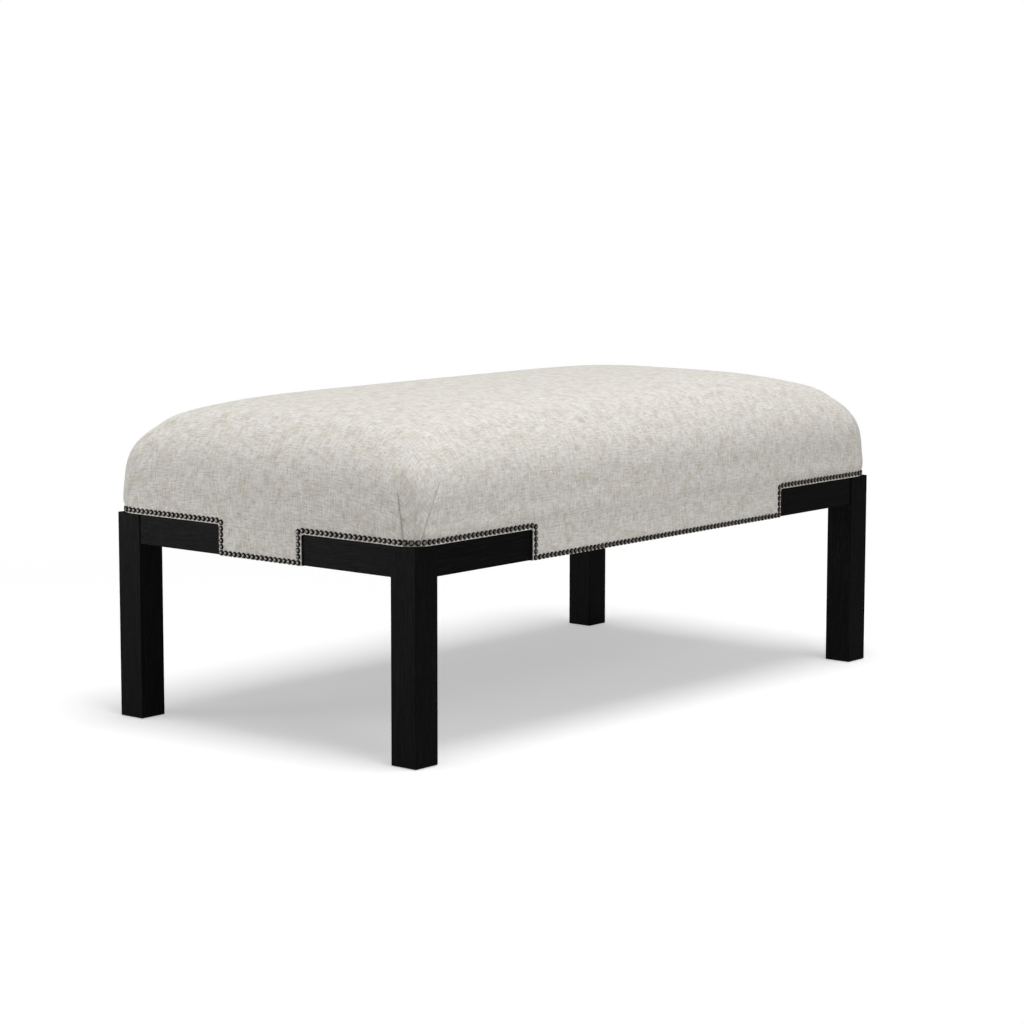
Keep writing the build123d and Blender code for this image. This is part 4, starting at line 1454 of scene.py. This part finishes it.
def mark(piece: bpy.types.Object, name: str, values: np.ndarray) -> None:
    """Store a value for each point of a piece, for its material to read.

    Args:
        piece: The piece.
        name: The attribute's name.
        values: One value for each point.
    """
    layer = piece.data.attributes.new(name, "FLOAT", "POINT")
    layer.data.foreach_set("value", values.astype(np.float32))


def thicken(piece: bpy.types.Object, thickness: float) -> None:
    """Give a sheet its thickness on the inner side, and apply it.

    Args:
        piece: The sheet's object.
        thickness: The sheet's thickness.
    """
    solidify = piece.modifiers.new("thickness", "SOLIDIFY")
    solidify.thickness = thickness
    solidify.offset = -1
    graph = bpy.context.evaluated_depsgraph_get()
    thick = bpy.data.meshes.new_from_object(piece.evaluated_get(graph))
    piece.modifiers.clear()
    thin = piece.data
    piece.data = thick
    bpy.data.meshes.remove(thin)


def settle(piece: bpy.types.Object, slot: str, *nodes: str) -> None:
    """Let a piece ride on the table's one body and stand for its CAD nodes.

    Args:
        piece: The new piece.
        slot: The material slot's name; it is not used.
        nodes: The CAD nodes that it replaces.
    """
    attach(piece, "root")
    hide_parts(*nodes)
    LOG.info("%s stands for %s: %d faces", piece.name, ", ".join(nodes), len(piece.data.polygons))


# The nailhead trim


@dataclass
class Nailheads:
    """Domed nailheads in rows above the rails and legs, beside the rail ends and along the skirts.

    Attributes:
        sizes: The frame's sizes.
        radius: Radius of a head.
        height: Height of its dome.
        pitch: Distance between nailheads.
        row_offset: Distance of a row from the wood.
        turn_drop: How far the nailhead at a row's turn lies below the row.
        skirt_edge: Height of the lowest row above the skirt's lower edge.
        corner: Radius of the row's turn round a leg, in plan.
        shank: Half the diagonal of the square shank.
        length: Length of the shank.
        seat: How deep the heads are driven into the cloth.
        around: Points round a head.
        tilt: The most that a nailhead leans, in radians.
        stray: The most that it is off its place.
        seed: Start of the random draws.
    """

    sizes: TableSizes
    radius: float = 4.75 * MM
    height: float = 2.7 * MM
    pitch: float = 9.9 * MM
    row_offset: float = 6.0 * MM
    turn_drop: float = 2.5 * MM
    skirt_edge: float = 4.9 * MM
    corner: float = 34.5 * MM
    shank: float = 0.7 * MM
    length: float = 12.0 * MM
    seat: float = 0.5 * MM
    around: int = 12
    tilt: float = math.radians(2.5)
    stray: float = 0.2 * MM
    seed: int = 7

    def head(self) -> tuple[np.ndarray, np.ndarray, np.ndarray]:
        """One nailhead standing on the XY plane: a profile of radius and height shares, turned round.

        Returns:
            Points, faces, and for each point its share of the dome's height.
        """
        radius_share = np.array([0.93, 1.0, 0.97, 0.84, 0.58, 0.26])
        height_share = np.array([-0.16, 0.02, 0.26, 0.58, 0.86, 0.98])
        angle = np.arange(self.around) * 2 * math.pi / self.around
        x = self.radius * radius_share[:, None] * np.cos(angle)
        y = self.radius * radius_share[:, None] * np.sin(angle)
        z = np.broadcast_to((self.height * height_share)[:, None], x.shape)
        rings = np.stack([x, y, z], axis=-1).reshape(-1, 3)
        crown = np.array([[0, 0, self.height]])
        faces = grid_faces(len(radius_share), self.around, closed=True)
        last = (len(radius_share) - 1) * self.around + np.arange(self.around)
        middle = np.full_like(last, len(rings))
        cap = np.stack([last, np.roll(last, -1), middle, middle], axis=1)
        odd = np.arange(3, self.around, 2)
        base = np.stack([np.zeros_like(odd), odd, odd - 1, odd - 2], axis=1)
        square = self.shank * np.array([[1, 0], [0, 1], [-1, 0], [0, -1]])
        shank = np.concatenate(
            [np.column_stack([square, np.full(4, z)]) for z in (self.radius - self.length, 0.0)]
            + [np.array([[0, 0, -self.length]])]
        )
        start = len(rings) + 1
        side = start + grid_faces(2, 4, closed=True)
        tip = 2 * len(square)
        point = start + np.array([[1, 0, tip, tip], [2, 1, tip, tip], [3, 2, tip, tip], [0, 3, tip, tip]])
        share = np.repeat(np.clip(height_share, 0, 1), self.around)
        share = np.concatenate([share, [1.0], np.zeros(len(shank))])
        return np.concatenate([rings, crown, shank]), np.concatenate([faces, cap, base, side, point]), share

    def corner_rows(self, sx: int, sy: int) -> tuple[np.ndarray, np.ndarray]:
        """Places of the nailheads round one leg, and the way each looks.

        Args:
            sx: The leg's side along X, -1 or 1.
            sy: The leg's side along Y, -1 or 1.

        Returns:
            Places and outward directions, one row each.
        """
        s = self.sizes
        row_z = s.wood_top + self.row_offset
        turn_z = row_z - self.turn_drop
        low_z = s.skirt_bottom + self.skirt_edge
        start_x, start_y = s.rail_x - self.row_offset, s.rail_y - self.row_offset
        drops = round((turn_z - low_z) / self.pitch)
        z = low_z + (turn_z - low_z) * np.arange(1, drops + 1) / drops
        flat = np.zeros_like(z)
        long_down = np.stack([flat + start_x, flat + s.half_width, z], axis=-1)
        short_down = np.stack([flat + s.half_length, flat + start_y, z], axis=-1)
        downs = [
            (long_down, np.tile([0.0, 1.0, 0.0], (drops, 1))),
            (short_down, np.tile([1.0, 0.0, 0.0], (drops, 1))),
        ]
        turn = math.sqrt(self.pitch**2 - self.turn_drop**2)
        long_run = s.half_length - self.corner - start_x - turn
        short_run = s.half_width - self.corner - start_y - turn
        arc_run = self.corner * math.pi / 2
        count = round((long_run + arc_run + short_run) / self.pitch)
        gone = np.linspace(0, long_run + arc_run + short_run, count + 1)
        angle = np.clip((gone - long_run) / self.corner, 0, math.pi / 2)
        normal = np.stack([np.sin(angle), np.cos(angle), np.zeros_like(angle)], axis=-1)
        x = s.half_length - self.corner * (1 - normal[:, 0]) - np.clip(long_run - gone, 0, None)
        y = s.half_width - self.corner * (1 - normal[:, 1]) - np.clip(gone - long_run - arc_run, 0, None)
        row = (np.stack([x, y, np.full_like(x, row_z)], axis=-1), normal)
        places, ways = (np.concatenate([rows[i] for rows in (*downs, row)]) for i in (0, 1))
        side = np.array([sx, sy, 1])
        return places * side, ways * side

    def skirt_row(self, sign: int, on_long: bool) -> tuple[np.ndarray, np.ndarray]:
        """Places of the nailheads along one skirt's lower edge, and the way each looks.

        Args:
            sign: The side, -1 or 1 on its axis.
            on_long: True for the front and back.

        Returns:
            Places and outward directions, one row each.
        """
        s = self.sizes
        reach = (s.rail_x if on_long else s.rail_y) - self.row_offset
        count = round(2 * reach / self.pitch)
        along = np.linspace(-reach, reach, count + 1)
        out = np.full_like(along, sign * (s.half_width if on_long else s.half_length))
        z = np.full_like(along, s.skirt_bottom + self.skirt_edge)
        places = np.stack([along, out, z] if on_long else [out, along, z], axis=-1)
        way = [0.0, float(sign), 0.0] if on_long else [float(sign), 0.0, 0.0]
        return places, np.tile(way, (len(along), 1))

    def make_row(
        self,
        name: str,
        node: str,
        rows: tuple[np.ndarray, np.ndarray],
        draw: np.random.Generator,
        material: bpy.types.Material,
    ) -> None:
        """Make the nailheads of one node as one mesh.

        They are driven in by hand, so each is a little off its place and leans a little.

        Args:
            name: The piece's name.
            node: The CAD node that it replaces.
            rows: Places and outward directions.
            draw: The random draws, in a fixed order.
            material: The nailheads' material.
        """
        places, ways = rows
        head, faces, dome = self.head()
        lean = draw.uniform(-self.tilt, self.tilt, (len(places), 2))
        side = np.cross(ways, [0.0, 0.0, 1.0])
        up = np.tile([0.0, 0.0, 1.0], (len(places), 1))
        way = ways + side * lean[:, :1] + up * lean[:, 1:]
        way /= np.linalg.norm(way, axis=1, keepdims=True)
        side = np.cross(up, way)
        side /= np.linalg.norm(side, axis=1, keepdims=True)
        up = np.cross(way, side)
        shift = draw.uniform(-self.stray, self.stray, (len(places), 2))
        centre = places - ways * self.seat + side * shift[:, :1] + up * shift[:, 1:]
        frames = np.stack([side, up, way], axis=1)
        points = centre[:, None] + np.einsum("pk,nkj->npj", head, frames)
        numbers = faces[None] + (np.arange(len(places)) * len(head))[:, None, None]
        piece = Surface(points.reshape(-1, 3), numbers.reshape(-1, 4)).make(name, material)
        mark(piece, "dome", np.tile(dome, len(places)))
        settle(piece, "bronze_studs", node)

    def make(self, material: bpy.types.Material) -> None:
        """Make all rows, corner by corner and side by side.

        Args:
            material: The nailheads' material.
        """
        draw = np.random.default_rng(self.seed)
        for corner, (sx, sy) in CORNERS.items():
            rows = self.corner_rows(sx, sy)
            self.make_row(f"nailheads_corner_{corner}", f"studs_corner_{corner}", rows, draw, material)
        for sides, on_long in ((LONG_SIDES, True), (SHORT_SIDES, False)):
            for side, sign in sides.items():
                rows = self.skirt_row(sign, on_long)
                self.make_row(f"nailheads_skirt_{side}", f"studs_skirt_{side}", rows, draw, material)


# The dust cover


@dataclass
class DustCover:
    """The black cloth stapled under the frame, notched round the legs and hanging a little."""

    sag: float = 3.0 * MM
    scallop: float = 0.6 * MM
    staple_pitch: float = 110 * MM
    scallop_reach: float = 45 * MM
    notch: float = 28.5 * MM
    spacing: float = 18 * MM
    thickness: float = 0.6 * MM

    def make(self, material: bpy.types.Material) -> None:
        """Make the sheet in place of its CAD node.

        With u and v from -1 to 1 over the sheet it hangs by sag (1 - u^4)(1 - v^4), and by scallops that
        fade inwards from its long edges.

        Args:
            material: The dust cover's material.
        """
        low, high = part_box("dust_cover")
        half = np.array([high.x, high.y])
        lines = [np.linspace(-h, h, round(2 * h / self.spacing) + 1) for h in half]
        inner = half - self.notch
        x, y = (np.unique(np.append(line, [-edge, edge])) for line, edge in zip(lines, inner))
        x_at, y_at = np.meshgrid(x, y)
        hang = (1 - (x_at / half[0]) ** 4) * (1 - (y_at / half[1]) ** 4)
        wave = 0.5 - 0.5 * np.cos(2 * math.pi * x_at / self.staple_pitch)
        inwards = half[1] - np.abs(y_at) - self.scallop_reach / 2
        fall = self.sag * hang + self.scallop * wave * dent(inwards, self.scallop_reach / 2)
        points = np.stack([x_at, y_at, low.z - fall], axis=-1)
        faces = grid_faces(len(y), len(x))[:, ::-1]
        centre = np.abs(points.reshape(-1, 3)[faces].mean(axis=1)[:, :2])
        in_notch = (centre > inner).all(axis=1)
        piece = Surface(points.reshape(-1, 3), faces[~in_notch]).make("dust_cloth", material)
        thicken(piece, self.thickness)
        settle(piece, "dust_cloth", "dust_cover")


# The dressing of the frame's own pieces


def dress(node: str, material: bpy.types.Material) -> None:
    """Give a CAD node its finish.

    Args:
        node: The node's name.
        material: The finish.
    """
    for slot in bpy.data.objects[node].material_slots:
        slot.material = material


@dataclass
class Woodwork:
    """The legs and show rails, the frame, aprons and deck behind them, and what holds them together."""

    sizes: TableSizes

    def finishes(self) -> dict[str, Finish]:
        """The finish of each CAD node, with the grain along the board's length.

        Returns:
            Finishes by node name.
        """
        by_node: dict[str, Finish] = {"deck_board": BirchPlywood(Direction.Z), "leg_glides": NYLON}
        for corner in CORNERS:
            by_node[f"leg_{corner}"] = BlackStainedOak(Direction.Z)
            by_node[f"show_rail_{corner}_long"] = BlackStainedOak(Direction.X)
            by_node[f"show_rail_{corner}_short"] = BlackStainedOak(Direction.Y)
            by_node[f"corner_block_{corner}"] = PlanedPine(Direction.Z)
        # Each apron is painted black, as painted shade, beyond the ends of its show rails
        for side in LONG_SIDES:
            by_node[f"frame_rail_{side}"] = PlanedPine(Direction.X)
            by_node[f"apron_{side}"] = BirchPlywood(Direction.Y, self.sizes.rail_x)
        for side in SHORT_SIDES:
            by_node[f"frame_rail_{side}"] = PlanedPine(Direction.Y)
            by_node[f"apron_{side}"] = BirchPlywood(Direction.X, self.sizes.rail_y)
        return by_node

    def finish_of(self, node: str) -> Finish:
        """The finish of a node that has none of its own in the table above: slats, dowels and hardware."""
        if node.startswith("cross_slat"):
            return PlanedPine(Direction.Y)
        return BEECH if "dowel" in node else ZINC

    def dress_all(self, nodes: Sequence[str], materials: "Materials") -> None:
        """Dress every CAD node that no new piece stands for.

        Args:
            nodes: The nodes' names.
            materials: The shop that builds each finish once.
        """
        own = self.finishes()
        for node in nodes:
            dress(node, materials.of(own.get(node) or self.finish_of(node)))


@dataclass
class Materials:
    """Builds each finish once and hands it out again."""

    built: dict[str, bpy.types.Material] = field(default_factory=dict)

    def of(self, finish: Finish) -> bpy.types.Material:
        """The material of a finish.

        Args:
            finish: The finish.

        Returns:
            Its material, built the first time that it is asked for.
        """
        if finish.name not in self.built:
            self.built[finish.name] = finish.build()
        return self.built[finish.name]


# The studio


def white_for_camera(tree: bpy.types.NodeTree) -> bpy.types.NodeSocket:
    """1 for rays from the camera, from mirrors and through glass, and 0 for the rays that light things."""
    path = add_node(tree, "LightPath")
    total = path.outputs["Is Camera Ray"]
    for kind in ("Is Glossy Ray", "Is Transmission Ray"):
        settings = {"operation": "MAXIMUM"}
        total = add_node(tree, "Math", settings, {0: total, 1: path.outputs[kind]}).outputs[0]
    return total


@dataclass(frozen=True)
class Lamp:
    """A soft lamp that looks at one point.

    Attributes:
        name: The lamp's name.
        way: Direction from the point to the lamp.
        distance: Distance of the lamp from the point.
        size: Width and height of the lamp.
        level: Light that falls on a face turned to it, as the brightness of a white face.
        target: The point.
    """

    name: str
    way: tuple[float, float, float]
    distance: float
    size: tuple[float, float]
    level: float
    target: tuple[float, float, float] = (0.0, 0.0, 0.35)

    def make(self) -> None:
        """Add the lamp: a flat lamp of power P shines with P / (pi^2 d^2) on a far face turned to it."""
        light = bpy.data.lights.new(self.name, "AREA")
        light.shape = "RECTANGLE"
        light.size, light.size_y = self.size
        light.energy = self.level * math.pi**2 * self.distance**2
        lamp = bpy.data.objects.new(self.name, light)
        way = Vector(self.way).normalized()
        lamp.location = Vector(self.target) + way * self.distance
        lamp.rotation_euler = way.to_track_quat("Z", "Y").to_euler()
        bpy.context.scene.collection.objects.link(lamp)


@dataclass(frozen=True)
class Camera:
    """The camera of the photograph: a long lens a little above the table.

    Its place and turn were found by fitting the frame's edges.
    """

    lens: float = 102.08
    sensor: float = 36.0
    place: tuple[float, float, float] = (-3.78297, -3.15504, 0.94705)
    yaw: float = math.radians(50.17)
    pitch: float = math.radians(7.46)
    roll: float = math.radians(-0.080)

    def make(self) -> None:
        """Add the camera: yaw turns from +Y to +X, pitch looks down, roll turns the picture."""
        ahead = Vector(
            (
                math.sin(self.yaw) * math.cos(self.pitch),
                math.cos(self.yaw) * math.cos(self.pitch),
                -math.sin(self.pitch),
            )
        )
        level = Vector((math.cos(self.yaw), -math.sin(self.yaw), 0))
        plumb = ahead.cross(level)
        right = level * math.cos(self.roll) + plumb * math.sin(self.roll)
        down = plumb * math.cos(self.roll) - level * math.sin(self.roll)
        data = bpy.data.cameras.new("camera")
        data.lens, data.sensor_width = self.lens, self.sensor
        camera = bpy.data.objects.new("camera", data)
        axes = Matrix((right, -down, -ahead)).transposed().to_4x4()
        camera.matrix_world = Matrix.Translation(self.place) @ axes
        bpy.context.scene.collection.objects.link(camera)
        bpy.context.scene.camera = camera


@dataclass
class Studio:
    """White floor with a soft shadow, white surroundings, a key lamp, a front fill and a low softbox."""

    lamps: tuple[Lamp, ...] = (
        Lamp("key_overhead", (-0.04, -0.16, 0.98), 5.0, (3.2, 3.2), 0.75),
        Lamp("fill_front", (-0.22, -0.86, 0.45), 5.0, (3.0, 3.0), 0.22),
        Lamp("softbox_low_left", (-0.80, 0.60, -0.02), 3.4, (1.1, 0.5), 0.27),
    )
    ambient: float = 0.20
    floor_size: float = 60.0
    floor_colour: str = "e9e9e9"
    floor_glow: float = 0.4
    shadow_reach: float = 1.1
    white_from: float = 2.0

    def floor(self) -> None:
        """The floor: near the table it takes the shadow, and further out it fades to plain white."""
        size = self.floor_size / 2
        corners = np.array([[-size, -size, 0], [size, -size, 0], [size, size, 0], [-size, size, 0]])
        material = bpy.data.materials.new("floor_white")
        material.use_nodes = True
        tree = material.node_tree
        tree.nodes.clear()
        seen = white_for_camera(tree)
        settings = {"operation": "MULTIPLY"}
        glow_level = add_node(tree, "Math", settings, {0: seen, 1: self.floor_glow}).outputs[0]
        glow = add_node(tree, "Emission", inputs={"Color": linear("ffffff"), "Strength": glow_level})
        matt = add_node(tree, "BsdfDiffuse", inputs={"Color": linear(self.floor_colour)})
        near = add_node(tree, "AddShader", inputs={0: glow.outputs[0], 1: matt.outputs[0]})
        white = add_node(tree, "Emission", inputs={"Color": linear("ffffff"), "Strength": seen})
        place = add_node(tree, "TexCoord").outputs["Object"]
        away = add_node(tree, "VectorMath", {"operation": "LENGTH"}, {0: place}).outputs["Value"]
        reach = {"Value": away, "From Min": self.shadow_reach, "From Max": self.white_from}
        share = add_node(tree, "MapRange", {"interpolation_type": "SMOOTHSTEP"}, reach).outputs[0]
        both = add_node(tree, "MixShader", inputs={0: share, 1: near.outputs[0], 2: white.outputs[0]})
        add_node(tree, "OutputMaterial", inputs={"Surface": both.outputs[0]})
        Surface(corners, np.array([[0, 1, 2, 3]])).make("floor", material)

    def surroundings(self) -> None:
        """The world: even light from all sides, and plain white where the camera and mirrors see it."""
        world = bpy.data.worlds.new("surroundings")
        world.use_nodes = True
        tree = world.node_tree
        tree.nodes.clear()
        reach = {"Value": white_for_camera(tree), "To Min": self.ambient, "To Max": 1.0}
        strength = add_node(tree, "MapRange", inputs=reach).outputs[0]
        sky = add_node(tree, "Background", inputs={"Color": linear("ffffff"), "Strength": strength})
        add_node(tree, "OutputWorld", inputs={"Surface": sky.outputs[0]})
        bpy.context.scene.world = world

    def make(self) -> None:
        """Set up the floor, the world, the lamps and the plain colour transform."""
        bpy.context.scene.view_settings.view_transform = "Standard"
        self.floor()
        self.surroundings()
        for lamp in self.lamps:
            lamp.make()


def main() -> None:
    """Dress the frame, add the soft pieces and nailheads, and set up the picture."""
    logging.basicConfig(level=logging.INFO, format="%(name)s: %(message)s")
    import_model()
    cad_nodes = [node.name for node in bpy.context.scene.objects if node.type == "MESH"]
    materials = Materials()
    sizes = TableSizes.from_frame()
    soft = {"cloth": LinenCloth(), "wadding": WADDING, "foam": FOAM}
    PaddedTop(sizes).make({name: materials.of(finish) for name, finish in soft.items()})
    Nailheads(sizes).make(materials.of(AgedBronze()))
    DustCover().make(materials.of(DUST_CLOTH))
    Woodwork(sizes).dress_all(cad_nodes, materials)
    Studio().make()
    Camera().make()


if __name__ == "__main__":
    main()
